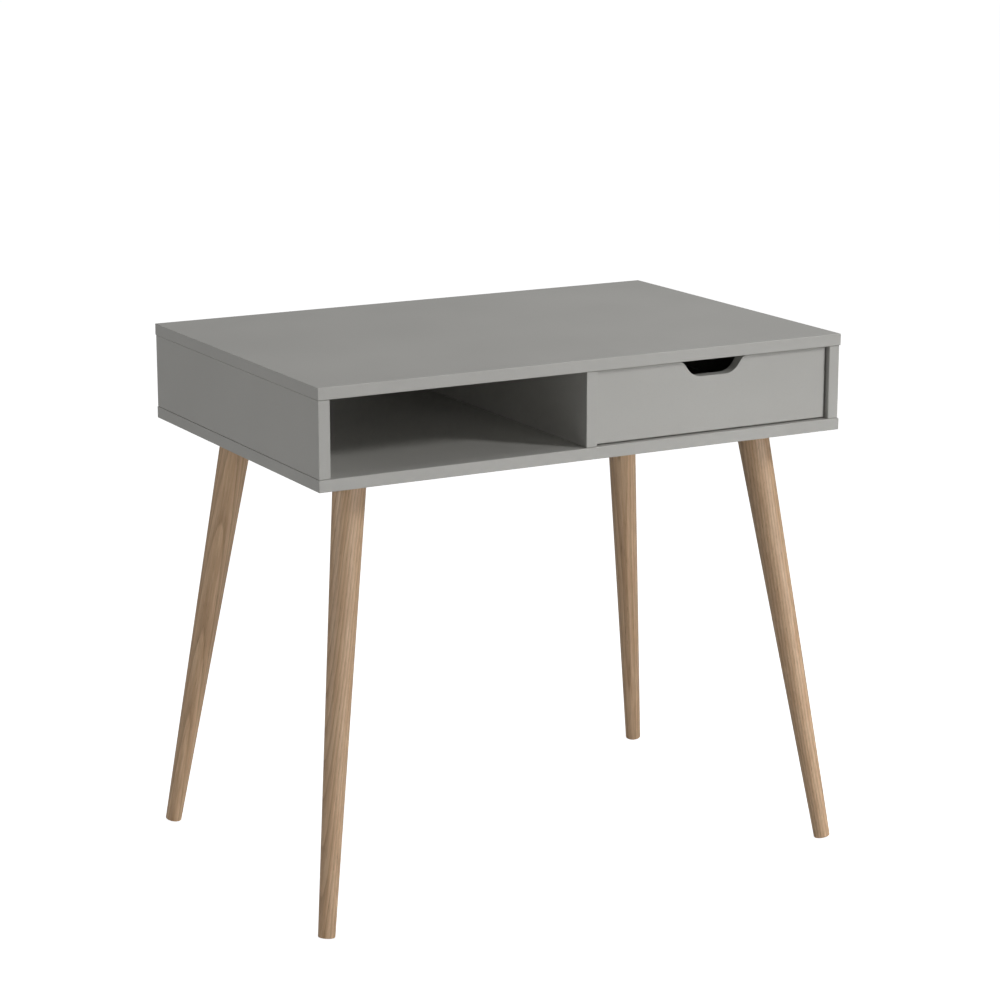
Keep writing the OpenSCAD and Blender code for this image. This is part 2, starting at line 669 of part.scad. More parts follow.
top_panel();
bottom_panel();
side_panel(-1);  // left_side_panel
side_panel(1);  // right_side_panel
divider_panel();
back_panel();
cabinet_cam_locks();
cabinet_cam_bolts();
cabinet_dowels();
floor_screws();
leg(-1, -1);  // front_left_leg
leg(1, -1);  // front_right_leg
leg(-1, 1);  // back_left_leg
leg(1, 1);  // back_right_leg
leg_plate(-1, -1);  // front_left_leg_plate
leg_plate(1, -1);  // front_right_leg_plate
leg_plate(-1, 1);  // back_left_leg_plate
leg_plate(1, 1);  // back_right_leg_plate
leg_hanger_bolts();
leg_plate_screws();
cabinet_runner(-1);  // left_cabinet_runner
cabinet_runner(1);  // right_cabinet_runner
roller(-1, front_roller_u, front_roller_y, front_roller_z);  // left_front_roller
roller(1, front_roller_u, front_roller_y, front_roller_z);  // right_front_roller
cabinet_roller_rivets();
cabinet_runner_screws();
drawer_front();
drawer_side(-1);  // drawer_left_side
drawer_side(1);  // drawer_right_side
drawer_back();
drawer_floor();
drawer_runner(-1);  // left_drawer_runner
drawer_runner(1);  // right_drawer_runner
roller(-1, rear_roller_u, rear_roller_y, rear_roller_z);  // left_rear_roller
roller(1, rear_roller_u, rear_roller_y, rear_roller_z);  // right_rear_roller
drawer_roller_rivets();
drawer_runner_screws();
drawer_cam_locks();
drawer_cam_bolts();
drawer_dowels();
drawer_back_screws();
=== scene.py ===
import json
import logging
import math
from dataclasses import dataclass, field
from enum import Enum

import bmesh
import bpy
import numpy as np
from mathutils import Matrix, Vector


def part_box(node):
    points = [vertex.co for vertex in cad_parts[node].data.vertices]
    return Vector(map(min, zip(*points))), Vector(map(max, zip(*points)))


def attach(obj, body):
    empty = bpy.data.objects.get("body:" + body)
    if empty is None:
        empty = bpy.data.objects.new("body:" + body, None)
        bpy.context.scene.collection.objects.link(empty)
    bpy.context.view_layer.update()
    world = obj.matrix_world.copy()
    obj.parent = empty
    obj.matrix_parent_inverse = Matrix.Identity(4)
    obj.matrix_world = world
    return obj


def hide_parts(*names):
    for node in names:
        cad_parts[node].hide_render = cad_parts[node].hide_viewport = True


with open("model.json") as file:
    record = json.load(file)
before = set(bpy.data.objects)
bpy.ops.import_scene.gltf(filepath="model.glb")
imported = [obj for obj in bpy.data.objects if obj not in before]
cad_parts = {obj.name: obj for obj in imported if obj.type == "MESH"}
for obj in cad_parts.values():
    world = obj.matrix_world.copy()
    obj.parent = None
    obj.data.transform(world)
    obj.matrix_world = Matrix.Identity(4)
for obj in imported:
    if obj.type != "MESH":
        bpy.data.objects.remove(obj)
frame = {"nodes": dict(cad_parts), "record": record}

# A writing desk: a grey lacquered cabinet with an open bay and one drawer, on four splayed turned legs.
# Every length is in metres. +Z is up, the front faces -Y, and the floor is z = 0.

Array = np.ndarray
Socket = bpy.types.NodeSocket
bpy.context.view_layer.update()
EDGE_RADIUS = 0.0008  # the rounding of a board's edges
THIN_EDGE_RADIUS = 0.0004  # the rounding of a thin board's edges
CUT_START = 0.001  # how far outside a face a cut starts
CAM_POCKET_DIAMETER = 0.0152
QUARTER_TURN = math.pi / 2
SIDES = (("left", -1), ("right", 1))
log = logging.getLogger("writing_desk")


class Body(Enum):
    """The rigid bodies that pieces ride on."""

    CABINET = "cabinet"
    DRAWER = "drawer"
    LEFT_CABINET_ROLLER = "left_cabinet_roller"
    RIGHT_CABINET_ROLLER = "right_cabinet_roller"
    LEFT_DRAWER_ROLLER = "left_drawer_roller"
    RIGHT_DRAWER_ROLLER = "right_drawer_roller"


class Slot(Enum):
    """The finishes that the desk's parts list knows."""

    GREY_BOARD = "grey_board"
    LEG_WOOD = "leg_wood"
    DOWEL_WOOD = "dowel_wood"
    ZINC = "zinc"
    WHITE_STEEL = "white_steel"
    WHITE_NYLON = "white_nylon"


# ---------------------------------------------------------------- surfaces


@dataclass
class Surface:
    """A closed surface as whole arrays.

    points is N by 3, normals is N by 3 and points outwards, and faces is a list of index arrays, one row per face.
    """

    points: Array
    normals: Array
    faces: list[Array]

    def placed(self, matrix: Matrix) -> "Surface":
        """Moves the surface by a rigid matrix.

        Args:
            matrix: a 4 by 4 rotation and shift.

        Returns:
            The moved surface.
        """
        m = np.array(matrix)
        return Surface(self.points @ m[:3, :3].T + m[:3, 3], self.normals @ m[:3, :3].T, self.faces)

    def joined(self, other: "Surface") -> "Surface":
        """Puts a second closed surface beside this one, in one piece.

        Args:
            other: the surface to add.

        Returns:
            Both as one surface with two shells.
        """
        shift = len(self.points)
        return Surface(
            np.vstack([self.points, other.points]),
            np.vstack([self.normals, other.normals]),
            self.faces + [f + shift for f in other.faces],
        )

    def welded(self) -> "Surface":
        """Merges points that share a place, and drops the faces that this leaves without area.

        Returns:
            The surface with shared points only.
        """
        _, first, where = np.unique(np.round(self.points, 8), axis=0, return_index=True, return_inverse=True)
        where = where.ravel()
        kept: list[Array] = []
        for face in self.faces:
            mapped = where[face]
            if mapped.shape[1] != 4:
                kept.extend(row[row != np.roll(row, -1)][None, :] for row in mapped)
                continue
            same = mapped == np.roll(mapped, -1, axis=1)
            kept.append(mapped[same.sum(1) == 0])
            thin = mapped[same.sum(1) == 1]
            kept.append(thin[~same[same.sum(1) == 1]].reshape(-1, 3))
        return Surface(self.points[first], self.normals[first], [k for k in kept if len(k)])


def grid_faces(rows: int, columns: int, wrap: bool = True) -> Array:
    """The quads of a grid of points that is stored row by row.

    Args:
        rows: the number of rows.
        columns: the number of points in a row.
        wrap: whether a row closes on itself.

    Returns:
        An M by 4 array of indices.
    """
    r, c = np.meshgrid(np.arange(rows - 1), np.arange(columns if wrap else columns - 1), indexing="ij")
    n = (c + 1) % columns
    quads = [r * columns + c, r * columns + n, (r + 1) * columns + n, (r + 1) * columns + c]
    return np.stack(quads, -1).reshape(-1, 4)


def rounded_box(low: Array, high: Array, radius: float, steps: int = 4) -> Surface:
    """A box with every edge and corner rounded.

    With n(u, v) the direction at longitude u and latitude v, the point is the nearest corner of the box shrunk by the
    radius, plus the radius times n. The flats are the jumps from one corner to the next, and n is their normal.

    Args:
        low: the lowest corner.
        high: the highest corner.
        radius: the rounding.
        steps: facets in a quarter turn.

    Returns:
        The closed surface.
    """
    low, high = np.asarray(low, float), np.asarray(high, float)
    half, centre = (high - low) / 2, (high + low) / 2
    r = min(radius, float(half.min()) * 0.999)
    arc = np.linspace(0, math.pi / 2, steps + 1)
    u = (np.arange(4)[:, None] * math.pi / 2 + arc).ravel()
    v = np.concatenate([arc - math.pi / 2, arc])
    sx, sy = np.repeat([1, -1, -1, 1], steps + 1), np.repeat([1, 1, -1, -1], steps + 1)
    sz = np.repeat([-1, 1], steps + 1)
    level = np.ones_like(u)
    n = np.stack([np.outer(np.cos(v), np.cos(u)), np.outer(np.cos(v), np.sin(u)), np.outer(np.sin(v), level)], -1)
    upright = np.ones_like(v)
    sign = np.stack([np.outer(upright, sx), np.outer(upright, sy), np.outer(sz, level)], -1)
    points = (centre + sign * (half - r) + r * n).reshape(-1, 3)
    columns, rows = len(u), len(v)
    caps = [np.arange(columns)[None, ::-1], (rows - 1) * columns + np.arange(columns)[None, :]]
    return Surface(points, n.reshape(-1, 3), [grid_faces(rows, columns), *caps]).welded()


@dataclass(frozen=True)
class Outline:
    """A closed plane curve: points and outward normals, M by 2, in the order that keeps the inside on the left."""

    points: Array
    normals: Array


def filleted(corners: list[tuple[float, float]], radii: list[float], steps: int = 6) -> Outline:
    """A polygon whose corners are arcs.

    At each corner the arc touches both sides at radius / tan(half the corner's angle) from it. The arc runs from one
    touching point to the other, and its normal points away from the centre at an outer corner and towards it at an
    inner one.

    Args:
        corners: the sharp corners, with the inside on the left.
        radii: the radius at each corner.
        steps: facets in each arc.

    Returns:
        The rounded outline.
    """
    c = np.array(corners, float)
    back, on = np.roll(c, 1, 0) - c, np.roll(c, -1, 0) - c
    back /= np.linalg.norm(back, axis=1)[:, None]
    on /= np.linalg.norm(on, axis=1)[:, None]
    turn = on[:, 0] * back[:, 1] - on[:, 1] * back[:, 0]
    way = np.sign(turn)
    half = np.arccos(np.clip((back * on).sum(1), -1, 1)) / 2
    r = np.array(radii, float)
    middle = back + on
    middle /= np.linalg.norm(middle, axis=1)[:, None]
    centre = c + middle * (r / np.sin(half))[:, None]
    first = np.stack([back[:, 1], -back[:, 0]], 1) * -way[:, None]
    start = np.arctan2(first[:, 1], first[:, 0])
    sweep = (math.pi - 2 * half) * way
    angle = start[:, None] + sweep[:, None] * np.linspace(0, 1, steps + 1)
    ray = np.stack([np.cos(angle), np.sin(angle)], -1)
    return Outline(
        (centre[:, None] + ray * r[:, None, None]).reshape(-1, 2), (ray * way[:, None, None]).reshape(-1, 2)
    )


def slab(outline: Outline, y0: float, y1: float, radius: float, steps: int = 4) -> Surface:
    """An outline in X and Z carried along Y, with both rims rounded.

    At the turn a of a rim the outline is drawn in by radius times (1 - sin a), and its depth past the end face is
    radius times (1 - cos a).

    Args:
        outline: the profile, as X and Z.
        y0: the front face.
        y1: the rear face.
        radius: the rounding of the rims.
        steps: facets in a rim.

    Returns:
        The closed surface.
    """
    a = np.linspace(0, math.pi / 2, steps + 1)
    inset = np.concatenate([radius * (1 - np.sin(a)), radius * (1 - np.sin(a[::-1]))])
    y = np.concatenate([y0 + radius * (1 - np.cos(a)), y1 - radius * (1 - np.cos(a[::-1]))])
    side = np.concatenate([np.sin(a), np.sin(a[::-1])])
    along = np.concatenate([-np.cos(a), np.cos(a[::-1])])
    flat = outline.points[None] - outline.normals[None] * inset[:, None, None]
    points = np.stack([flat[..., 0], np.broadcast_to(y[:, None], flat.shape[:2]), flat[..., 1]], -1)
    n = outline.normals[None] * side[:, None, None]
    normals = np.stack([n[..., 0], np.broadcast_to(along[:, None], n.shape[:2]), n[..., 1]], -1)
    rows, columns = points.shape[:2]
    caps = [np.arange(columns)[None, :], (rows - 1) * columns + np.arange(columns)[None, ::-1]]
    faces = [grid_faces(rows, columns)[:, ::-1], *caps]
    return Surface(points.reshape(-1, 3), normals.reshape(-1, 3), faces).welded()


def lathe(radii: Array, heights: Array, normals: Array, segments: int = 96) -> Surface:
    """A profile turned about Z: point(u, v) = (radius(v) cos u, radius(v) sin u, height(v)).

    Args:
        radii: the profile's radii, from its lower pole to its upper pole.
        heights: the profile's heights.
        normals: the profile's normals, as radial and upward parts.
        segments: facets in a full turn.

    Returns:
        The closed surface.
    """
    u = np.arange(segments) * 2 * math.pi / segments
    cos, sin = np.cos(u)[None], np.sin(u)[None]
    r, h = np.asarray(radii)[:, None], np.asarray(heights)[:, None]
    nr, nz = np.asarray(normals)[:, :1], np.asarray(normals)[:, 1:]
    one = np.ones_like(cos)
    points = np.stack([r * cos, r * sin, h * one], -1).reshape(-1, 3)
    turned = np.stack([nr * cos, nr * sin, nz * one], -1).reshape(-1, 3)
    return Surface(points, turned, [grid_faces(len(r), segments)]).welded()


@dataclass
class Profile:
    """Half a turned shape, drawn from the lower pole to the upper one."""

    radii: list[Array] = field(default_factory=list)
    heights: list[Array] = field(default_factory=list)
    normals: list[Array] = field(default_factory=list)

    def line(self, start: tuple[float, float], end: tuple[float, float], rows: int = 2) -> "Profile":
        """Adds a straight stretch, with its normal to the right of its direction.

        Args:
            start: radius and height where it starts.
            end: radius and height where it ends.
            rows: the number of points.

        Returns:
            This profile.
        """
        t = np.linspace(0, 1, rows)
        way = np.subtract(end, start) / np.linalg.norm(np.subtract(end, start))
        self.radii.append(start[0] + t * (end[0] - start[0]))
        self.heights.append(start[1] + t * (end[1] - start[1]))
        self.normals.append(np.tile([way[1], -way[0]], (rows, 1)))
        return self

    def arc(
        self, centre: tuple[float, float], radius: float, start: float, end: float, rows: int = 6
    ) -> "Profile":
        """Adds an arc about a centre; a negative radius makes a hollow one.

        Args:
            centre: radius and height of the centre.
            radius: the arc's radius.
            start: the normal's angle at the start, in degrees, with 0 outwards and 90 up.
            end: the normal's angle at the end.
            rows: the number of points.

        Returns:
            This profile.
        """
        a = np.radians(np.linspace(start, end, rows))
        self.radii.append(centre[0] + radius * np.cos(a))
        self.heights.append(centre[1] + radius * np.sin(a))
        self.normals.append(np.stack([np.cos(a), np.sin(a)], 1))
        return self

    def turned(self, segments: int = 96) -> Surface:
        """Turns the profile about Z.

        Args:
            segments: facets in a full turn.

        Returns:
            The closed surface.
        """
        return lathe(
            np.concatenate(self.radii), np.concatenate(self.heights), np.vstack(self.normals), segments
        )


def turned(
    corners: list[tuple[float, float]], radii: list[float], segments: int = 48, steps: int = 4
) -> Surface:
    """A polygon of radius and height, with rounded corners, turned about Z.

    A polygon whose first and last corners are on the axis makes a solid shape. Any other makes a ring.

    Args:
        corners: the corners, as radius and height, with the inside on the left.
        radii: the rounding of each corner.
        segments: facets in a full turn.
        steps: facets in each corner.

    Returns:
        The closed surface.
    """
    outline = filleted(corners, [max(r, 1e-7) for r in radii], steps)
    r, h = outline.points[:, 0], outline.points[:, 1]
    n = outline.normals
    if corners[0][0] == 0:
        inner = slice(steps + 1, len(r) - steps - 1)
        r = np.concatenate([[0], r[inner], [0]])
        h = np.concatenate([[corners[0][1]], h[inner], [corners[-1][1]]])
        return lathe(r, h, np.vstack([[0, -1], n[inner], [0, 1]]), segments)
    return lathe(np.append(r, r[0]), np.append(h, h[0]), np.vstack([n, n[:1]]), segments)


@dataclass(frozen=True)
class Turning:
    """A turned shape: the corners of its profile, as radius and height, and the rounding of each."""

    corners: tuple[tuple[float, float], ...]
    rounding: tuple[float, ...]
    segments: int

    def surface(self) -> Surface:
        """Turns the profile about Z."""
        return turned(list(self.corners), list(self.rounding), self.segments)


PLATE_SCREW = Turning(
    (
        (0, -0.0103), (0.0005, -0.0103), (0.002, -0.0078), (0.002, -0.0019), (0.00375, -0.0001),
        (0.00375, 0.0001), (0, 0.0001)
    ),
    (0, 0, 0.0005, 0.0002, 0.0001, 0.00009, 0), 32,
)
FLOOR_SCREW = Turning(
    ((0, -0.0498), (0.001, -0.0498), (0.0025, -0.046), (0.0025, -0.0165), (0.0035, -0.0165), (0.0035, -0.004),
     (0.005, -0.004), (0.005, -0.0001), (0, -0.0001)),
    (0, 0, 0.0005, 0.0002, 0.0002, 0.0002, 0.0004, 0.0005, 0), 40,
)
BACK_SCREW = Turning(
    (
        (0, -0.0349), (0.0005, -0.0349), (0.002, -0.031), (0.002, -0.003), (0.0035, -0.003),
        (0.0035, -0.0001), (0, -0.0001)
    ),
    (0, 0, 0.0005, 0.0002, 0.0002, 0.0004, 0), 36,
)


def facing(place: tuple[float, float, float], way: tuple[float, float, float]) -> Matrix:
    """The matrix that stands a shape at a place with its +Z along a direction.

    Args:
        place: where its origin goes.
        way: where its +Z points.

    Returns:
        The matrix.
    """
    return Matrix.Translation(place) @ Vector(way).to_track_quat("Z", "Y").to_matrix().to_4x4()


def recess(outline: Outline, top: float, depth: float) -> Surface:
    """A prism for cutting a driver's recess, down from a height along -Z.

    Args:
        outline: its cross-section.
        top: where the cut starts.
        depth: how far it goes.

    Returns:
        The closed surface.
    """
    return slab(outline, top - depth, top + 0.001, 0.00005, 1).placed(Matrix.Rotation(QUARTER_TURN, 4, "X"))


def cross(length: float, width: float) -> Outline:
    """The outline of a cross recess.

    Args:
        length: its span.
        width: the width of its arms.

    Returns:
        The outline.
    """
    a, b = length / 2, width / 2
    corners = [
        (-b, -a), (b, -a), (b, -b), (a, -b), (a, b), (b, b), (b, a), (-b, a), (-b, b), (-a, b), (-a, -b),
        (-b, -b)
    ]
    return filleted(corners, [b * 0.4 if k % 3 else b * 0.25 for k in range(12)], 2)


def hexagon(across: float) -> Outline:
    """The outline of a hexagon recess, from its size across the corners."""
    a = [(across / 2 * math.cos(t), across / 2 * math.sin(t)) for t in (k * math.pi / 3 for k in range(6))]
    return filleted(a, [across * 0.04] * 6, 2)


# ---------------------------------------------------------------- pieces


@dataclass
class Maker:
    """Turns surfaces into pieces of the desk, and keeps the list of them."""

    made: list[str] = field(default_factory=list)

    def piece(
        self, name: str, surface: Surface, body: Body, slot: Slot, material: bpy.types.Material,
        stands_for: tuple[str, ...] = (), grain: Array | None = None, pockets: Surface | None = None,
    ) -> bpy.types.Object:
        """Makes one piece in its place, and ties it to its body.

        Args:
            name: the piece's name.
            surface: its shape, in the desk's frame.
            body: the body that it rides on.
            slot: the finish that the parts list gives it; not used.
            material: its material.
            stands_for: the design's nodes that it replaces.
            grain: a place in the wood for each point, where the wood has its own frame.
            pockets: closed surfaces that are cut out of it.

        Returns:
            The piece.
        """
        mesh = bpy.data.meshes.new(name)
        faces = [row for block in surface.faces for row in block.tolist()]
        mesh.from_pydata(surface.points.tolist(), [], faces)
        mesh.shade_smooth()
        if grain is not None:
            wood = mesh.attributes.new("grain_place", "FLOAT_VECTOR", "POINT")
            wood.data.foreach_set("vector", grain.ravel())
        mesh.normals_split_custom_set_from_vertices(surface.normals.tolist())
        piece = bpy.data.objects.new(name, mesh)
        bpy.context.scene.collection.objects.link(piece)
        if pockets is not None:
            self.cut(piece, surface, pockets)
        piece.data.materials.clear()
        piece.data.materials.append(material)
        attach(piece, body.value)
        if stands_for:
            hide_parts(*stands_for)
        self.made.append(name)
        log.info("%s: %d faces on %s", name, len(piece.data.polygons), body.value)
        return piece

    def group(
        self, name: str, shape: Surface, cut: Surface, places: list[Matrix], body: Body,
        material: bpy.types.Material, node: str,
    ) -> None:
        """Makes one zinc-plated piece of several like shells, such as a set of screws.

        Args:
            name: the piece's name.
            shape: one shell, in its own frame.
            cut: what is cut out of each shell, in the same frame.
            places: each shell's frame.
            body: the body that they ride on.
            material: their material.
            node: the design's node that they replace.
        """
        pockets = together([cut.placed(place) for place in places])
        shells = together([shape.placed(place) for place in places])
        self.piece(name, shells, body, Slot.ZINC, material, (node,), pockets=pockets)

    def cut(self, piece: bpy.types.Object, surface: Surface, pockets: Surface) -> None:
        """Cuts closed surfaces out of a piece, and gives its corners their normals again.

        A corner that the uncut surface has too keeps its normal. A new corner, and one whose face leans away from
        that normal as a pocket's wall does, takes the face's own.

        Args:
            piece: the piece.
            surface: the piece's uncut surface.
            pockets: what is cut out.
        """
        mesh = bpy.data.meshes.new("pockets")
        mesh.from_pydata(
            pockets.points.tolist(), [], [row for block in pockets.faces for row in block.tolist()]
        )
        tool = bpy.data.objects.new("pockets", mesh)
        bpy.context.scene.collection.objects.link(tool)
        cutter = piece.modifiers.new("pockets", "BOOLEAN")
        cutter.operation, cutter.solver, cutter.object = "DIFFERENCE", "EXACT", tool
        bpy.context.view_layer.update()
        cut_mesh = bpy.data.meshes.new_from_object(piece.evaluated_get(bpy.context.evaluated_depsgraph_get()))
        piece.modifiers.clear()
        uncut, piece.data = piece.data, cut_mesh
        cut_mesh.name = piece.name
        bpy.data.objects.remove(tool)
        bpy.data.meshes.remove(mesh)
        bpy.data.meshes.remove(uncut)
        co = np.zeros(len(cut_mesh.vertices) * 3, np.float32)
        cut_mesh.vertices.foreach_get("co", co)
        before = np.round(surface.points.astype(np.float32), 6)
        after = np.round(co.reshape(-1, 3), 6)
        _, where = np.unique(np.vstack([before, after]), axis=0, return_inverse=True)
        where = where.ravel()
        known = np.full(where.max() + 1, -1)
        known[where[: len(before)]] = np.arange(len(before))
        index = np.zeros(len(cut_mesh.loops), int)
        cut_mesh.loops.foreach_get("vertex_index", index)
        source = known[where[len(before):]][index]
        total = np.zeros(len(cut_mesh.polygons), int)
        cut_mesh.polygons.foreach_get("loop_total", total)
        flat = np.zeros(len(cut_mesh.polygons) * 3)
        cut_mesh.polygons.foreach_get("normal", flat)
        own = np.repeat(flat.reshape(-1, 3), total, 0)
        smooth = np.where((source >= 0)[:, None], surface.normals[np.maximum(source, 0)], own)
        lean = (smooth * own).sum(1)[:, None]
        cut_mesh.shade_smooth()
        cut_mesh.normals_split_custom_set(np.where(lean > 0.6, smooth, own).tolist())


def node_box(node: str) -> tuple[Array, Array]:
    """The lowest and highest corners of a design node, as arrays."""
    low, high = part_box(node)
    return np.array(low), np.array(high)


def upright_cylinder(
    centre: tuple[float, float], z0: float, z1: float, diameter: float, segments: int = 64
) -> Surface:
    """A closed cylinder along Z, for cutting.

    Args:
        centre: its axis, as X and Y.
        z0: its lower end.
        z1: its upper end.
        diameter: its diameter.
        segments: facets in a full turn.

    Returns:
        The closed surface.
    """
    r = diameter / 2
    shape = Profile().line((0, z0), (r, z0)).line((r, z0), (r, z1)).line((r, z1), (0, z1)).turned(segments)
    return shape.placed(Matrix.Translation((centre[0], centre[1], 0)))


def side_cylinder(centre: tuple[float, float], x0: float, x1: float, diameter: float) -> Surface:
    """A closed cylinder along X, for cutting.

    Args:
        centre: its axis, as Y and Z.
        x0: one end.
        x1: the other end.
        diameter: its diameter.

    Returns:
        The closed surface.
    """
    low, high = min(x0, x1), max(x0, x1)
    shape = upright_cylinder((0, 0), low, high, diameter)
    return shape.placed(Matrix.Translation((0, centre[0], centre[1])) @ Matrix.Rotation(QUARTER_TURN, 4, "Y"))


def together(shapes: list[Surface]) -> Surface:
    """Joins several closed surfaces into one.

    Args:
        shapes: the surfaces.

    Returns:
        One surface with all the shells.
    """
    whole = shapes[0]
    for shape in shapes[1:]:
        whole = whole.joined(shape)
    return whole


# ---------------------------------------------------------------- shader helpers


@dataclass
class Graph:
    """A node tree with short ways to add nodes and join them."""

    tree: bpy.types.NodeTree

    def node(self, kind: str, **settings: object) -> bpy.types.Node:
        """Adds a node and sets its plain properties."""
        made = self.tree.nodes.new(kind)
        for key, value in settings.items():
            setattr(made, key, value)
        return made

    def join(self, source: Socket, target: Socket) -> None:
        """Links an output to an input."""
        self.tree.links.new(source, target)

    def feed(self, target: Socket, value: object) -> None:
        """Links a socket, or sets a plain value.

        Args:
            target: the input.
            value: an output socket, a number or a colour.
        """
        if isinstance(value, bpy.types.NodeSocket):
            self.join(value, target)
        else:
            target.default_value = value

    def math(self, operation: str, a: object, b: object = 0.0) -> Socket:
        """Adds a Math node.

        Args:
            operation: its operation.
            a: the first input.
            b: the second input.

        Returns:
            Its output.
        """
        made = self.node("ShaderNodeMath", operation=operation)
        self.feed(made.inputs[0], a)
        self.feed(made.inputs[1], b)
        return made.outputs[0]

    def scaled(self, place: Socket, factors: tuple[float, float, float]) -> Socket:
        """Multiplies a place by a factor along each axis, which draws a pattern out where the factor is small."""
        made = self.node("ShaderNodeVectorMath", operation="MULTIPLY")
        self.join(place, made.inputs[0])
        made.inputs[1].default_value = factors
        return made.outputs[0]

    def noise(self, place: Socket, scale: object, detail: float = 3.0, roughness: float = 0.5) -> Socket:
        """Adds a Noise Texture.

        Args:
            place: its vector.
            scale: its scale, per metre.
            detail: its octaves.
            roughness: how strong the fine octaves are.

        Returns:
            Its value.
        """
        made = self.node("ShaderNodeTexNoise", noise_dimensions="3D")
        self.join(place, made.inputs["Vector"])
        self.feed(made.inputs["Scale"], scale)
        made.inputs["Detail"].default_value = detail
        made.inputs["Roughness"].default_value = roughness
        return made.outputs["Fac"]

    def spread(
        self, value: Socket, low: float, high: float, to_low: object = 0.0, to_high: object = 1.0
    ) -> Socket:
        """Stretches a range of values onto another.

        Args:
            value: the input.
            low: the input that gives to_low.
            high: the input that gives to_high.
            to_low: the lower output.
            to_high: the upper output.

        Returns:
            The stretched value.
        """
        made = self.node("ShaderNodeMapRange", clamp=True)
        self.join(value, made.inputs["Value"])
        for name, number in (("From Min", low), ("From Max", high), ("To Min", to_low), ("To Max", to_high)):
            self.feed(made.inputs[name], number)
        return made.outputs["Result"]

    def blend(self, amount: object, a: object, b: object, how: str = "MIX") -> Socket:
        """Mixes two colours.

        Args:
            amount: how much of the second.
            a: the first colour.
            b: the second colour.
            how: the blend type.

        Returns:
            The mixed colour.
        """
        made = self.node("ShaderNodeMix", data_type="RGBA", blend_type=how)
        self.feed(made.inputs["Factor"], amount)
        self.feed(made.inputs[6], a)
        self.feed(made.inputs[7], b)
        return made.outputs[2]


class Relief:
    """Shader groups that several finishes share."""

    @staticmethod
    def new(
        name: str, inputs: dict[str, float], outputs: tuple[str, ...]
    ) -> tuple[Graph, bpy.types.Node, bpy.types.Node]:
        """Starts a node group with a Place input.

        Args:
            name: the group's name.
            inputs: named numbers with their defaults.
            outputs: named numbers.

        Returns:
            The graph, its input node and its output node.
        """
        tree = bpy.data.node_groups.new(name, "ShaderNodeTree")
        tree.interface.new_socket("Place", in_out="INPUT", socket_type="NodeSocketVector")
        for key, value in inputs.items():
            made = tree.interface.new_socket(key, in_out="INPUT", socket_type="NodeSocketFloat")
            made.default_value = value
        for key in outputs:
            tree.interface.new_socket(key, in_out="OUTPUT", socket_type="NodeSocketFloat")
        graph = Graph(tree)
        return graph, graph.node("NodeGroupInput"), graph.node("NodeGroupOutput")

    @staticmethod
    def sprayed() -> bpy.types.NodeTree:
        """A sprayed or moulded skin: a fine stipple over slow waves, with a slow drift of tone.

        Returns:
            The group, with the outputs Height, Tone and Speck.
        """
        found = bpy.data.node_groups.get("sprayed_skin")
        if found:
            return found
        g, into, out = Relief.new(
            "sprayed_skin", {"Stipple": 900.0, "Drift": 3.0}, ("Height", "Tone", "Speck")
        )
        place = into.outputs["Place"]
        fine = g.noise(place, into.outputs["Stipple"], 2.0, 0.6)
        wave = g.noise(place, g.math("MULTIPLY", into.outputs["Stipple"], 0.12), 1.0)
        drift = g.noise(place, into.outputs["Drift"], 3.0, 0.55)
        speck = g.noise(place, g.math("MULTIPLY", into.outputs["Stipple"], 0.45), 1.0)
        g.join(
            g.math("ADD", g.math("MULTIPLY", fine, 0.7), g.math("MULTIPLY", wave, 0.6)), out.inputs["Height"]
        )
        g.join(g.spread(drift, 0.3, 0.7), out.inputs["Tone"])
        g.join(g.spread(speck, 0.62, 0.74), out.inputs["Speck"])
        return g.tree

    @staticmethod
    def timber() -> bpy.types.NodeTree:
        """Straight-grained timber whose fibres run along Z of its own frame.

        Growth rings are a wave of the distance from a far-off heart, bent a little by slow noise. Fibres and pores
        are noise drawn out about thirty to fifty times along Z.

        Returns:
            The group, with the outputs Ring, Fibre, Pore, Patch and Height.
        """
        found = bpy.data.node_groups.get("timber_grain")
        if found:
            return found
        g, into, out = Relief.new(
            "timber_grain", {"Ring Pitch": 0.006, "Fineness": 1.0},
            ("Ring", "Fibre", "Pore", "Patch", "Height")
        )
        place = into.outputs["Place"]
        sway = g.noise(g.scaled(place, (10.0, 10.0, 1.5)), 1.0, 2.0)
        apart = g.node("ShaderNodeSeparateXYZ")
        g.join(place, apart.inputs[0])
        x, y = g.math("ADD", apart.outputs["X"], 0.085), apart.outputs["Y"]
        far = g.math("SQRT", g.math("ADD", g.math("MULTIPLY", x, x), g.math("MULTIPLY", y, y)))
        bent = g.math("ADD", far, g.math("MULTIPLY", g.math("SUBTRACT", sway, 0.5), 0.016))
        turn = g.math("DIVIDE", bent, into.outputs["Ring Pitch"])
        saw = g.math("FRACT", turn)
        ring = g.math("MULTIPLY", g.math("POWER", saw, 2.2), g.spread(saw, 1.0, 0.93))
        fibre_scale = g.math("MULTIPLY", into.outputs["Fineness"], 1100.0)
        fibre = g.noise(g.scaled(place, (1.0, 1.0, 0.02)), fibre_scale, 3.0, 0.6)
        drawn = g.scaled(place, (1.0, 1.0, 0.035))
        dash = g.noise(drawn, g.math("MULTIPLY", into.outputs["Fineness"], 1250.0), 2.0)
        pore = g.math("MULTIPLY", g.spread(dash, 0.60, 0.70), g.spread(ring, 0.0, 0.6, 0.35, 1.0))
        patch = g.spread(g.noise(drawn, 260.0, 4.0, 0.62), 0.3, 0.7)
        rough = g.math("SUBTRACT", g.math("MULTIPLY", fibre, 0.5), pore)
        for name, value in (
            ("Ring", ring), ("Fibre", fibre), ("Pore", pore), ("Patch", patch), ("Height", rough)
        ):
            g.join(value, out.inputs[name])
        return g.tree


# ---------------------------------------------------------------- finishes


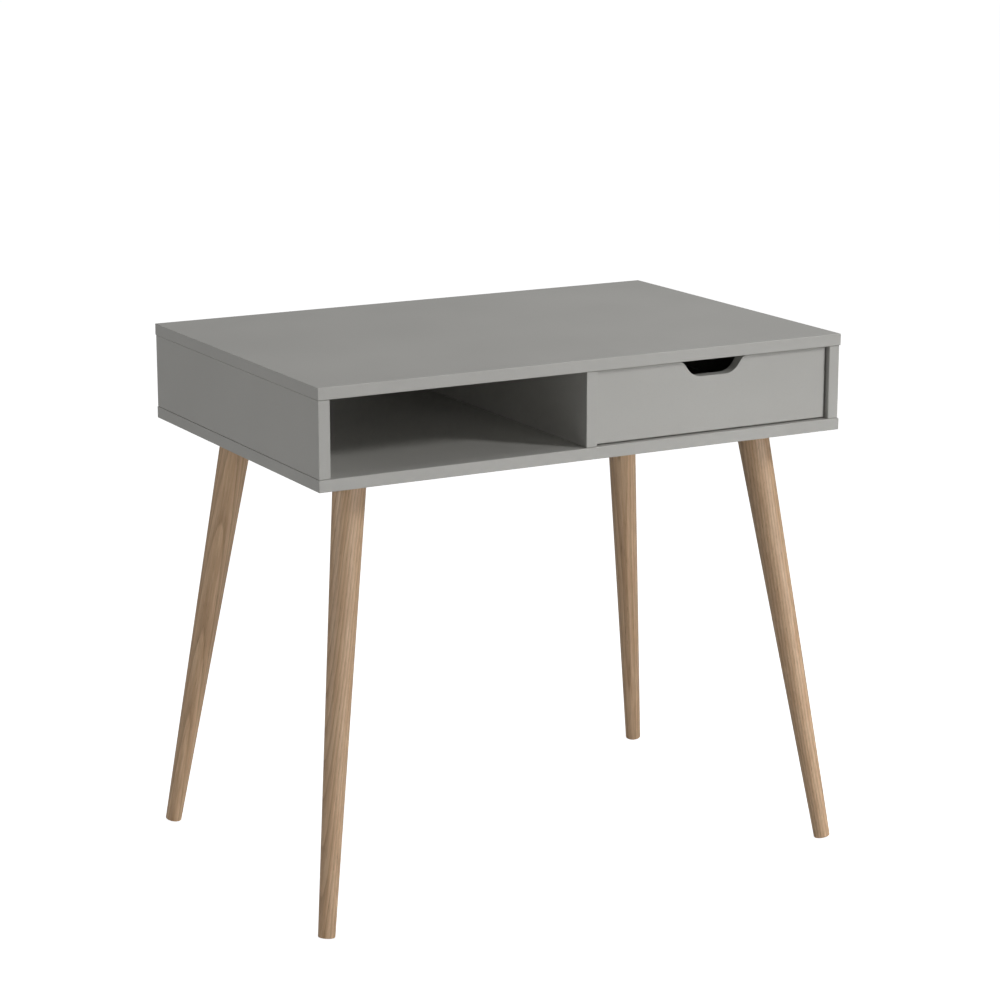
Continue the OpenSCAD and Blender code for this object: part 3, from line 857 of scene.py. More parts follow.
def shade(value: tuple[float, float, float]) -> tuple[float, float, float, float]:
    """A linear colour with full alpha."""
    return (*value, 1.0)


@dataclass(frozen=True)
class Finish:
    """What every finish has: a name, a ground colour and its sheen."""

    name: str
    colour: tuple[float, float, float]
    roughness: float

    def start(self) -> tuple[bpy.types.Material, Graph, bpy.types.Node]:
        """Makes an empty material with its shader.

        Returns:
            The material, its graph and its Principled node.
        """
        material = bpy.data.materials.new(self.name)
        material.use_nodes = True
        graph = Graph(material.node_tree)
        material.diffuse_color = shade(self.colour)
        return material, graph, material.node_tree.nodes["Principled BSDF"]

    def place(self, graph: Graph) -> Socket:
        """The point on the desk that is shaded, in metres."""
        return graph.node("ShaderNodeTexCoord").outputs["Object"]

    def group(self, graph: Graph, tree: bpy.types.NodeTree, place: Socket, **values: float) -> bpy.types.Node:
        """Adds a shared group with its own values.

        Args:
            graph: the material's graph.
            tree: the group.
            place: what feeds its Place.
            values: its numbers, with underscores for spaces.

        Returns:
            The group's node.
        """
        made = graph.node("ShaderNodeGroup", node_tree=tree)
        graph.join(place, made.inputs["Place"])
        for key, value in values.items():
            made.inputs[key.replace("_", " ")].default_value = value
        return made

    def skinned(
        self, graph: Graph, shader: bpy.types.Node, skin: bpy.types.Node,
        tones: tuple[float, float], speck: float, sheens: tuple[float, float],
    ) -> None:
        """Feeds the sprayed skin's tone and specks into the shader's colour and roughness.

        Args:
            graph: the material's graph.
            shader: the Principled node.
            skin: the sprayed skin's group node.
            tones: the ground colour's factors where the tone is lowest and highest.
            speck: the ground colour's factor in a speck.
            sheens: what is added to the roughness where the tone is lowest and highest.
        """
        ground = np.array(self.colour)
        low, high, dark = (shade(tuple(np.minimum(ground * k, 1.0))) for k in (*tones, speck))
        toned = graph.blend(skin.outputs["Tone"], low, high)
        graph.join(graph.blend(skin.outputs["Speck"], toned, dark), shader.inputs["Base Color"])
        rough = (self.roughness + sheens[0], self.roughness + sheens[1])
        graph.join(graph.spread(skin.outputs["Tone"], 0.0, 1.0, *rough), shader.inputs["Roughness"])

    def bump(
        self, graph: Graph, shader: bpy.types.Node, height: Socket, depth: float, strength: float = 1.0
    ) -> None:
        """Feeds a height into the shader's normal.

        Args:
            graph: the material's graph.
            shader: the Principled node.
            height: the height, about 0 to 1.
            depth: how deep 1 is, in metres.
            strength: how much of it shows.
        """
        made = graph.node("ShaderNodeBump")
        made.inputs["Strength"].default_value = strength
        made.inputs["Distance"].default_value = depth
        graph.join(height, made.inputs["Height"])
        graph.join(made.outputs["Normal"], shader.inputs["Normal"])


@dataclass(frozen=True)
class Lacquer(Finish):
    """Sprayed satin lacquer on board."""

    stipple: float = 900.0
    depth: float = 0.00003

    def material(self) -> bpy.types.Material:
        """Builds the lacquer: a slow drift of tone, fine dark specks and a faint stipple."""
        material, g, shader = self.start()
        skin = self.group(g, Relief.sprayed(), self.place(g), Stipple=self.stipple, Drift=4.0)
        self.skinned(g, shader, skin, (0.972, 1.028), 0.965, (-0.03, 0.03))
        self.bump(g, shader, skin.outputs["Height"], self.depth)
        return material


@dataclass(frozen=True)
class TurnedWood(Finish):
    """Clear-coated wood whose grain follows each leg's own frame."""

    dark: tuple[float, float, float] = (0.38, 0.215, 0.115)
    pale: tuple[float, float, float] = (0.90, 0.66, 0.43)
    pore: tuple[float, float, float] = (0.26, 0.145, 0.075)
    ring_pitch: float = 0.0042
    fineness: float = 1.0
    own_frame: bool = True

    def place(self, graph: Graph) -> Socket:
        """The point in the wood, from the piece's attribute or from the desk's frame."""
        if self.own_frame:
            return graph.node("ShaderNodeAttribute", attribute_name="grain_place").outputs["Vector"]
        return super().place(graph)

    def material(self) -> bpy.types.Material:
        """Builds the wood: rings and slow patches tint it, fibres streak it, and pores darken and dent it."""
        material, g, shader = self.start()
        wood = self.group(
            g, Relief.timber(), self.place(g), Ring_Pitch=self.ring_pitch, Fineness=self.fineness
        )
        ground = g.blend(wood.outputs["Patch"], shade(self.colour), shade(self.pale))
        ringed = g.blend(g.math("MULTIPLY", wood.outputs["Ring"], 0.65), ground, shade(self.dark))
        streak = g.spread(wood.outputs["Fibre"], 0.30, 0.70, 0.45, 0.0)
        fibred = g.blend(streak, ringed, shade(self.dark))
        pored = g.blend(g.math("MULTIPLY", wood.outputs["Pore"], 0.6), fibred, shade(self.pore))
        g.join(pored, shader.inputs["Base Color"])
        shader.inputs["Coat Weight"].default_value = 0.45
        shader.inputs["Coat Roughness"].default_value = 0.42
        rough = g.spread(wood.outputs["Fibre"], 0.3, 0.7, self.roughness + 0.07, self.roughness - 0.05)
        g.join(rough, shader.inputs["Roughness"])
        self.bump(g, shader, wood.outputs["Height"], 0.00006, 0.7)
        return material


@dataclass(frozen=True)
class Plated(Finish):
    """Zinc-plated steel: a blotched tone, dark specks and a dull shine."""

    def material(self) -> bpy.types.Material:
        """Builds the plating from the shared skin."""
        material, g, shader = self.start()
        skin = self.group(g, Relief.sprayed(), self.place(g), Stipple=1600.0, Drift=60.0)
        self.skinned(g, shader, skin, (0.82, 1.08), 0.7, (-0.08, 0.10))
        shader.inputs["Metallic"].default_value = 1.0
        self.bump(g, shader, skin.outputs["Height"], 0.00003)
        return material


@dataclass(frozen=True)
class Coated(Finish):
    """Powder coating on steel, or moulded nylon: a skin with a set stipple."""

    stipple: float = 1400.0
    depth: float = 0.00004

    def material(self) -> bpy.types.Material:
        """Builds the coat from the shared skin."""
        material, g, shader = self.start()
        skin = self.group(g, Relief.sprayed(), self.place(g), Stipple=self.stipple, Drift=25.0)
        self.skinned(g, shader, skin, (0.95, 1.03), 0.88, (-0.04, 0.05))
        self.bump(g, shader, skin.outputs["Height"], self.depth)
        return material


class Finishes:
    """All the desk's materials, one per slot."""

    def __init__(self) -> None:
        """Builds each material once."""
        self.by_slot: dict[Slot, bpy.types.Material] = {
            Slot.GREY_BOARD: Lacquer("grey_lacquer", (0.56, 0.553, 0.525), 0.48).material(),
            Slot.LEG_WOOD: TurnedWood("leg_oak", (0.72, 0.47, 0.275), 0.46).material(),
            Slot.DOWEL_WOOD: TurnedWood(
                "dowel_beech", (0.60, 0.45, 0.28), 0.6, own_frame=False, fineness=0.8
            ).material(),
            Slot.ZINC: Plated("zinc_plate", (0.62, 0.63, 0.65), 0.34).material(),
            Slot.WHITE_STEEL: Coated("white_coat", (0.72, 0.72, 0.69), 0.38).material(),
            Slot.WHITE_NYLON: Coated("roller_nylon", (0.78, 0.78, 0.74), 0.42, 700.0, 0.00002).material(),
        }

    def dress_nodes(self) -> None:
        """Gives every design node the material of its slot."""
        slots = {part["node"]: Slot(part["material_slot"]) for part in frame["record"]["subparts"]}
        for name, node in frame["nodes"].items():
            node.data.materials.clear()
            node.data.materials.append(self.by_slot[slots[name]])


# ---------------------------------------------------------------- sub-assemblies


@dataclass
class Cabinet:
    """The lacquered cabinet: top, floor, two sides, divider and back, with pockets for its visible fittings."""

    maker: Maker
    finishes: Finishes
    edge: float = EDGE_RADIUS
    cam_depth: float = 0.0125
    screw_radius: float = 0.005
    head_diameter: float = 0.0102
    head_depth: float = 0.0041
    hairline: tuple[float, float] = (0.0002, 0.0005)

    def board(
        self, node: str, pockets: Surface | None = None, joints: tuple[float, float] = (0.0, 0.0)
    ) -> bpy.types.Object:
        """Makes one rounded board in place of a design node.

        Args:
            node: the node, whose box the board fills.
            pockets: what is cut out of it.
            joints: the hairline left at its lower and upper ends, where it butts on another board.

        Returns:
            The board.
        """
        low, high = node_box(node)
        low[2] += joints[0]
        high[2] -= joints[1]
        return self.maker.piece(
            f"{node}_board", rounded_box(low, high, self.edge), Body.CABINET, Slot.GREY_BOARD,
            self.finishes.by_slot[Slot.GREY_BOARD], (node,), pockets=pockets,
        )

    def cam_pockets(self, face: float, way: float) -> Surface:
        """The two cam lock pockets of an upright.

        Args:
            face: the X of the face that they open on.
            way: which way they run in, -1 or 1.

        Returns:
            The cutting surface.
        """
        low, high = node_box("cabinet_cam_locks")
        z = (low[2] + high[2]) / 2
        ys = (low[1] + (high[2] - low[2]) / 2, high[1] - (high[2] - low[2]) / 2)
        return together([
            side_cylinder((y, z), face - way * CUT_START, face + way * self.cam_depth, CAM_POCKET_DIAMETER)
            for y in ys
        ])

    def build(self) -> None:
        """Makes the six boards."""
        self.board("top_panel")
        low, high = node_box("floor_screws")
        divider = node_box("divider_panel")
        xs = (low[0] + self.screw_radius, (divider[0][0] + divider[1][0]) / 2, high[0] - self.screw_radius)
        ys = (low[1] + self.screw_radius, high[1] - self.screw_radius)
        ends = (low[2] - CUT_START, low[2] + self.head_depth)
        self.board("bottom_panel", together([
            upright_cylinder((x, y), *ends, self.head_diameter) for x in xs for y in ys
        ]))
        for node, end, way in (
            ("left_side_panel", 1, -1), ("right_side_panel", 0, 1), ("divider_panel", 1, -1)
        ):
            self.board(node, self.cam_pockets(node_box(node)[end][0], way), self.hairline)
        self.board("back_panel")


@dataclass
class Legs:
    """Four tapered turned legs, splayed along the diagonals."""

    maker: Maker
    finishes: Finishes
    axis_x: float = 0.318
    axis_y: float = 0.1805
    under: float = 0.6125
    splay: float = math.radians(11)
    top_diameter: float = 0.0455
    foot_diameter: float = 0.0235
    foot_round: float = 0.0015
    top_round: float = 0.001
    foot_play: float = 0.00003
    plate_thickness: float = 0.0025
    boss_rise: float = 0.0005
    boss_diameter: float = 0.034
    boss_round: float = 0.0006
    plate_width: float = 0.066
    plate_corner: float = 0.004
    screw_pitch: float = 0.052
    grain_turn: tuple[float, float] = (1.1, 1.9)
    grain_lean: float = math.radians(6)
    grain_step: tuple[float, float, float] = (0.012, 0.021, 1.37)

    def frame_at(self, sx: int, sy: int) -> Matrix:
        """The leg's own frame: its axis is Z, and the leg hangs below the cabinet's underside.

        Args:
            sx: -1 for the left legs, 1 for the right.
            sy: -1 for the front legs, 1 for the rear.

        Returns:
            The matrix from the leg's frame to the desk's.
        """
        turn = Matrix.Rotation(math.atan2(sy, sx), 4, "Z") @ Matrix.Rotation(-self.splay, 4, "Y")
        return Matrix.Translation((sx * self.axis_x, sy * self.axis_y, self.under)) @ turn

    def shape(self) -> Surface:
        """The leg in its own frame.

        The radius falls in a straight line from the top to the foot. Both rims are arcs that meet the taper. The foot
        is drawn in by its play, so that it stays inside the design's box.

        Returns:
            The closed surface.
        """
        r0, r1 = self.foot_diameter / 2 - self.foot_play, self.top_diameter / 2
        f, c = self.foot_round, self.top_round
        z0 = self.foot_play - (self.under - (r0 - f) * math.sin(self.splay)) / math.cos(self.splay)
        z1 = -(self.plate_thickness + self.boss_rise + r1 * math.sin(self.splay)) / math.cos(self.splay)
        lean = math.degrees(math.atan2(r1 - r0, z1 - z0))
        profile = Profile().line((0, z0), (r0 - f, z0), 4).arc((r0 - f, z0 + f), f, -90, -lean)
        start = (r0 - f + f * math.cos(math.radians(lean)), z0 + f - f * math.sin(math.radians(lean)))
        end = (r1 - c + c * math.cos(math.radians(lean)), z1 - c - c * math.sin(math.radians(lean)))
        profile.line(start, end, 40).arc((r1 - c, z1 - c), c, -lean, 90).line((r1 - c, z1), (0, z1), 4)
        return profile.turned(96)

    def plate_frame(self, sx: int, sy: int) -> Matrix:
        """The level frame over a leg, turned to the leg's diagonal, with the cabinet's underside at z = 0."""
        turn = Matrix.Rotation(math.atan2(sy, sx), 4, "Z")
        return Matrix.Translation((sx * self.axis_x, sy * self.axis_y, self.under)) @ turn

    def boss(self) -> Surface:
        """The slanted boss between a plate and its leg, in the plate's frame.

        It is a cylinder about the leg's axis. Its lower end is square to the axis with a rounded rim, and its side
        runs up at (cos u, sin u) to the level plane inside the plate, which cuts it at a slant.

        Returns:
            The closed surface.
        """
        r, c, columns = self.boss_diameter / 2, self.boss_round, 72
        sin, cos = math.sin(self.splay), math.cos(self.splay)
        low = -(self.plate_thickness + self.boss_rise + self.top_diameter / 2 * sin) / cos
        u = np.arange(columns) * 2 * math.pi / columns
        a = np.linspace(-math.pi / 2, 0, 5)
        radii = np.concatenate([[0, r - c], r - c + c * np.cos(a), [r, 0]])
        level = (-self.plate_thickness / 2 - np.outer(radii[-2:], np.cos(u)) * sin) / cos
        rim = np.concatenate([[low, low], low + c + c * np.sin(a)])
        heights = np.vstack([np.repeat(rim[:, None], columns, 1), level])
        points = np.stack([np.outer(radii, np.cos(u)), np.outer(radii, np.sin(u)), heights], -1)
        out = np.concatenate([[0, 0], np.cos(a), [1, 0]])
        up = np.concatenate([[-1, -1], np.sin(a), [0, 1]])
        normals = np.stack(
            [np.outer(out, np.cos(u)), np.outer(out, np.sin(u)), np.repeat(up[:, None], columns, 1)], -1
        )
        faces = [grid_faces(len(radii), columns)]
        shape = Surface(points.reshape(-1, 3), normals.reshape(-1, 3), faces).welded()
        return shape.placed(Matrix.Rotation(-self.splay, 4, "Y"))

    def plate(self) -> Surface:
        """A square plate with rounded corners and rims, and its boss, in the plate's frame."""
        a = self.plate_width / 2
        square = filleted([(-a, -a), (a, -a), (a, a), (-a, a)], [self.plate_corner] * 4, 8)
        flange = slab(square, -self.plate_thickness, 0, 0.0005, 3)
        return flange.placed(Matrix.Rotation(QUARTER_TURN, 4, "X")).joined(self.boss())

    def screw_places(self) -> list[tuple[float, float]]:
        """Where the plate's four screws are, in the plate's frame."""
        a = self.screw_pitch / 2
        return [(x, y) for x in (-a, a) for y in (-a, a)]

    def fit_plate(self, node: str, frame_over: Matrix) -> None:
        """Makes one plate, countersunk for its screws.

        Args:
            node: the plate's node.
            frame_over: the plate's frame.
        """
        t, mouth, bore = self.plate_thickness, 0.00405, 0.0023
        profile = [(0, -0.0002), (mouth, -0.0002), (bore, 0.002), (bore, t + CUT_START), (0, t + CUT_START)]
        hole = turned(profile, [0.0] * 5, 32, 1)
        holes = together([hole.placed(Matrix.Translation((x, y, -t))) for x, y in self.screw_places()])
        self.maker.piece(
            f"{node}_pressing", self.plate().placed(frame_over), Body.CABINET, Slot.ZINC,
            self.finishes.by_slot[Slot.ZINC], (node,), pockets=holes.placed(frame_over),
        )

    def fit_screws(self) -> None:
        """Makes the sixteen countersunk screws of the plates."""
        cut = recess(cross(0.004, 0.0009), 0.0001, 0.001)
        places = [
            self.plate_frame(sx, sy) @ facing((x, y, -self.plate_thickness), (0, 0, -1))
            for sx in (-1, 1) for sy in (-1, 1) for x, y in self.screw_places()
        ]
        zinc = self.finishes.by_slot[Slot.ZINC]
        self.maker.group(
            "plate_screws", PLATE_SCREW.surface(), cut, places, Body.CABINET, zinc, "leg_plate_screws"
        )

    def build(self) -> None:
        """Makes the four legs, each from its own stretch of wood, then their plates and screws."""
        shape = self.shape()
        first, step = self.grain_turn
        ends = (("front", -1), ("back", 1))
        for k, (side, sx, end, sy) in enumerate((*side, *end) for end in ends for side in SIDES):
            spin = Matrix.Rotation(first + step * k, 4, "Z")
            lean = Matrix.Rotation(self.grain_lean * (1 - 0.3 * k), 4, "X")
            grain = shape.placed(spin @ lean).points + k * np.array(self.grain_step)
            self.maker.piece(
                f"{end}_{side}_turned_leg", shape.placed(self.frame_at(sx, sy)), Body.CABINET, Slot.LEG_WOOD,
                self.finishes.by_slot[Slot.LEG_WOOD], (f"{end}_{side}_leg",), grain=grain,
            )
            self.fit_plate(f"{end}_{side}_leg_plate", self.plate_frame(sx, sy))
        self.fit_screws()


@dataclass
class Drawer:
    """The drawer: a lacquered front with its finger cut-out, and a box behind it."""

    maker: Maker
    finishes: Finishes
    edge: float = EDGE_RADIUS
    pull_width: float = 0.110
    pull_depth: float = 0.0225
    pull_slope: float = math.radians(53)
    lip_radius: float = 0.011
    corner_radius: float = 0.026
    cam_depth: float = 0.0095
    head_radius: float = 0.0035
    head_pocket: tuple[float, float] = (0.0072, 0.003)

    def front_outline(self, low: Array, high: Array) -> Outline:
        """The front's outline: a rectangle whose upper edge drops into the cut-out.

        Args:
            low: the front's lowest corner.
            high: the front's highest corner.

        Returns:
            The outline, as X and Z.
        """
        middle, top = (low[0] + high[0]) / 2, high[2]
        mouth = self.pull_width / 2 - self.lip_radius * math.tan(self.pull_slope / 2)
        bottom = mouth - self.pull_depth / math.tan(self.pull_slope)
        corners = [
            (low[0], low[2]), (high[0], low[2]), (high[0], top), (middle + mouth, top),
            (middle + bottom, top - self.pull_depth), (middle - bottom, top - self.pull_depth),
            (middle - mouth, top), (low[0], top),
        ]
        lip, inner = self.lip_radius, self.corner_radius
        return filleted(corners, [self.edge, self.edge, self.edge, lip, inner, inner, lip, self.edge], 16)

    def board(self, node: str, edge: float, pockets: Surface | None = None) -> bpy.types.Object:
        """Makes one rounded board of the box in place of a design node."""
        low, high = node_box(node)
        return self.maker.piece(
            f"{node}_board", rounded_box(low, high, edge), Body.DRAWER, Slot.GREY_BOARD,
            self.finishes.by_slot[Slot.GREY_BOARD], (node,), pockets=pockets,
        )

    def side_pockets(self, node: str, way: int) -> Surface:
        """The pockets in a side: the cam lock's, on its inner face, and the two screw heads', on its outer face.

        Args:
            node: the side's node.
            way: -1 for the left side, 1 for the right.

        Returns:
            The cutting surface.
        """
        low, high = node_box(node)
        outer, inner = (low[0], high[0]) if way < 0 else (high[0], low[0])
        cam_low, cam_high = node_box("drawer_cam_locks")
        screw_low, screw_high = node_box("drawer_back_screws")
        cam_axis = ((cam_low[1] + cam_high[1]) / 2, (cam_low[2] + cam_high[2]) / 2)
        cam = side_cylinder(
            cam_axis, inner - way * CUT_START, inner + way * self.cam_depth, CAM_POCKET_DIAMETER
        )
        y = (screw_low[1] + screw_high[1]) / 2
        wide, deep = self.head_pocket
        heads = [
            side_cylinder((y, z), outer + way * CUT_START, outer - way * deep, wide)
            for z in (screw_low[2] + self.head_radius, screw_high[2] - self.head_radius)
        ]
        return together([cam, *heads])

    def build(self) -> None:
        """Makes the front and the four boards of the box."""
        low, high = node_box("drawer_front")
        self.maker.piece(
            "drawer_front_board", slab(self.front_outline(low, high), low[1], high[1], self.edge),
            Body.DRAWER,
            Slot.GREY_BOARD, self.finishes.by_slot[Slot.GREY_BOARD], ("drawer_front",),
        )
        for side, way in SIDES:
            node = f"drawer_{side}_side"
            self.board(node, self.edge, self.side_pockets(node, way))
        self.board("drawer_back", self.edge)
        self.board("drawer_floor", THIN_EDGE_RADIUS)


@dataclass
class Runners:
    """The drawer's runners: bent sheet, nylon rollers, rivets and screws. u runs from the bay's wall to the drawer."""

    maker: Maker
    finishes: Finishes
    bay_left: float = 0.00925
    bay_right: float = 0.3885
    space: float = 0.0125
    steel: float = 0.0012
    roller_radius: float = 0.0085
    roller_width: float = 0.006
    rivet_radius: float = 0.0025
    channel_low: float = 0.6402
    channel_high: float = 0.6585
    drawer_low: float = 0.639
    box_front: float = -0.246
    box_rear: float = 0.204
    front_roller: tuple[float, float, float] = (0.0018, -0.2345, 0.648)
    rear_roller: tuple[float, float, float] = (0.0047, 0.1925, 0.649)
    stop_y: float = -0.15467
    clearance: float = 0.002
    floor_lip: float = 0.008
    roof_lip: float = 0.006
    bend: float = 0.0017
    rim: float = 0.0003

    def place(self, side: int, surface: Surface) -> Surface:
        """Moves a shape from the runner's frame to the desk's; the right side is a mirror of the left.

        Args:
            side: -1 for the left, 1 for the right.
            surface: the shape, with its own faces outward.

        Returns:
            The moved shape, with its faces outward.
        """
        if side < 0:
            return surface.placed(Matrix.Translation((self.bay_left, 0, 0)))
        flip = np.array([-1.0, 1.0, 1.0])
        faces = [block[:, ::-1] for block in surface.faces]
        return Surface(
            surface.points * flip + np.array([self.bay_right, 0, 0]), surface.normals * flip, faces
        )

    def channel_ends(self) -> tuple[float, float]:
        """The Y of the front and rear ends of the cabinet's runner."""
        return self.box_front + self.clearance, self.rear_roller[1] + self.roller_radius + self.clearance

    def cabinet_sheet(self) -> tuple[Surface, Surface]:
        """The cabinet's runner: a channel with an end wall and a stop, and what is cut out of it for the roller.

        Returns:
            The channel and the cutting surface, in the runner's frame.
        """
        t, low, high = self.steel, self.channel_low - self.steel, self.channel_high + self.steel
        wide, narrow, rim, inset = t + self.floor_lip, t + self.roof_lip, self.rim, 0.0001
        front, rear = self.channel_ends()
        corners = [
            (0, low), (wide, low), (wide, low + t), (t, low + t), (t, high - t), (narrow, high - t),
            (narrow, high), (0, high),
        ]
        outline = filleted(corners, [self.bend, rim, rim, 0.0005, 0.0005, rim, rim, self.bend], 5)
        channel = slab(outline, front, rear, 0.0002, 2)
        wall = rounded_box((inset, rear - t, low + inset), (wide, rear, high), rim, 2)
        stop_low = (wide - 0.004, self.stop_y - t, low + inset)
        stop = rounded_box(stop_low, (wide, self.stop_y, self.channel_low + 0.0035), rim, 2)
        gap_high = (
            wide + CUT_START, self.front_roller[1] + self.roller_radius + self.clearance,
            self.channel_low + 0.0006
        )
        gap = rounded_box((t, front - CUT_START, low - CUT_START), gap_high, 0.00005, 1)
        return channel.joined(wall).joined(stop), gap

    def drawer_sheet(self) -> tuple[Surface, Surface]:
        """The drawer's runner: a Z-shaped strip, and what is cut out of its upper flange over the rear roller.

        Returns:
            The strip and the cutting surface, in the runner's frame.
        """
        t, low = self.steel, self.drawer_low
        web, top = self.space - t, self.channel_high - 0.0005
        corners = [
            (web, low - t), (self.space + 0.010, low - t), (self.space + 0.010, low), (self.space, low),
            (self.space, top), (web - 0.0075, top), (web - 0.0075, top - t), (web, top - t),
        ]
        outline = filleted(corners, [0.0015, 0.0003, 0.0003, 0.0002, 0.0015, 0.0003, 0.0003, 0.0004], 5)
        strip = slab(outline, self.box_front, self.box_rear, 0.0002, 2)
        end = self.rear_roller[1] - self.roller_radius - self.clearance
        gap_high = (web, self.box_rear + CUT_START, top + CUT_START)
        gap = rounded_box((web - 0.009, end, top - t - CUT_START), gap_high, 0.00005, 1)
        return strip, gap

    def roller(self) -> Surface:
        """A roller about +Z from z = 0: a bored, slightly crowned tread with a hub and a shallow dish on each face."""
        r, w, bore = self.roller_radius, self.roller_width, self.rivet_radius + 0.00005
        hub, dish, deep = 0.0045, 0.007, 0.0006
        corners = [
            (bore, 0), (hub, 0), (hub, deep), (dish, deep), (dish, 0), (r, 0), (r, w), (dish, w),
            (dish, w - deep), (hub, w - deep),
            (hub, w), (bore, w),
        ]
        half = [0.0002, 0.0002, 0.0002, 0.0002, 0.0003, 0.0007]
        return turned(corners, half + half[::-1], 72)

    def rivet(self, length: float) -> Surface:
        """A rivet along +Z from z = 0, with a domed head past its length."""
        r = self.rivet_radius
        corners = [
            (0, 0.0001), (r, 0.0001), (r, length), (0.004, length), (0.004, length + 0.0009),
            (0, length + 0.0009)
        ]
        return turned(corners, [0, 0.0001, 0.0001, 0.0001, 0.0006, 0], 40, 5)

    def pan_screw(self, length: float) -> tuple[Surface, Surface]:
        """A pan-head screw whose head stands on z = 0 and points along +Z, and its cross recess.

        Args:
            length: the length of its shank.

        Returns:
            The screw and the cutting surface.
        """
        r, head = 0.00175, 0.00325
        corners = [
            (0, -length), (0.0004, -length), (r, -length + 0.003), (r, 0), (head, 0), (head, 0.0016),
            (0, 0.0016),
        ]
        screw = turned(corners, [0, 0, 0.0004, 0.0002, 0.0003, 0.0011, 0], 36, 5)
        return screw, recess(cross(0.004, 0.0008), 0.0016, 0.0008)

    def build(self) -> None:
        """Makes the runners, rollers, rivets and screws."""
        nylon, steel, zinc = (
            self.finishes.by_slot[s] for s in (Slot.WHITE_NYLON, Slot.WHITE_STEEL, Slot.ZINC)
        )
        across = facing((0, 0, 0), (1, 0, 0))
        lengths = (
            self.front_roller[0] + self.roller_width + 0.00005, self.space - self.rear_roller[0] + 0.00005
        )
        rivets: dict[int, list[Surface]] = {0: [], 1: []}
        rollers = (
            (Body.LEFT_CABINET_ROLLER, Body.LEFT_DRAWER_ROLLER),
            (Body.RIGHT_CABINET_ROLLER, Body.RIGHT_DRAWER_ROLLER),
        )
        sheets = (
            ("cabinet", self.cabinet_sheet(), Body.CABINET), ("drawer", self.drawer_sheet(), Body.DRAWER)
        )
        for (name, side), bodies in zip(SIDES, rollers):
            for owner, sheet, body in sheets:
                self.maker.piece(
                    f"{name}_{owner}_runner_sheet", self.place(side, sheet[0]), body, Slot.WHITE_STEEL, steel,
                    (f"{name}_{owner}_runner",), pockets=self.place(side, sheet[1]),
                )
            for k, (end, body, (u, y, z)) in enumerate(
                (("front", bodies[0], self.front_roller), ("rear", bodies[1], self.rear_roller))
            ):
                wheel = self.roller().placed(Matrix.Translation((u, y, z)) @ across)
                self.maker.piece(
                    f"{name}_{end}_roller_wheel", self.place(side, wheel), body, Slot.WHITE_NYLON, nylon,
                    (f"{name}_{end}_roller",)
                )
                web, way = ((0, 1), (self.space, -1))[k]
                rivets[k].append(
                    self.place(side, self.rivet(lengths[k]).placed(facing((web, y, z), (way, 0, 0))))
                )
        self.maker.piece(
            "cabinet_rivets", together(rivets[0]), Body.CABINET, Slot.ZINC, zinc, ("cabinet_roller_rivets",)
        )
        self.maker.piece(
            "drawer_rivets", together(rivets[1]), Body.DRAWER, Slot.ZINC, zinc, ("drawer_roller_rivets",)
        )
        self.fit_screws(zinc)

    def fit_screws(self, zinc: bpy.types.Material) -> None:
        """Makes the screws that hold the runners.

        Args:
            zinc: their material.
        """
        front, rear = self.channel_ends()
        box_length = self.box_rear - self.box_front
        channel_ys = [front + k * (rear - front) for k in (0.14, 0.5, 0.88)]
        drawer_ys = [self.box_front + k * box_length for k in (0.1, 0.45, 0.82)]
        middle, low = (self.channel_low + self.channel_high) / 2, self.drawer_low + 0.0045
        sets = (
            ("cabinet_runner_screws", Body.CABINET, 0.013, channel_ys, self.steel, middle, 1),
            ("drawer_runner_screws", Body.DRAWER, 0.009, drawer_ys, self.space - self.steel, low, -1),
        )
        for node, body, length, ys, u, z, way in sets:
            shape, cut = self.pan_screw(length)
            shells, cuts = [], []
            for side in (-1, 1):
                for y in ys:
                    stand = facing((u, y, z), (way, 0, 0))
                    shells.append(self.place(side, shape.placed(stand)))
                    cuts.append(self.place(side, cut.placed(stand)))
            self.maker.piece(
                f"{node}_set", together(shells), body, Slot.ZINC, zinc, (node,), pockets=together(cuts)
            )


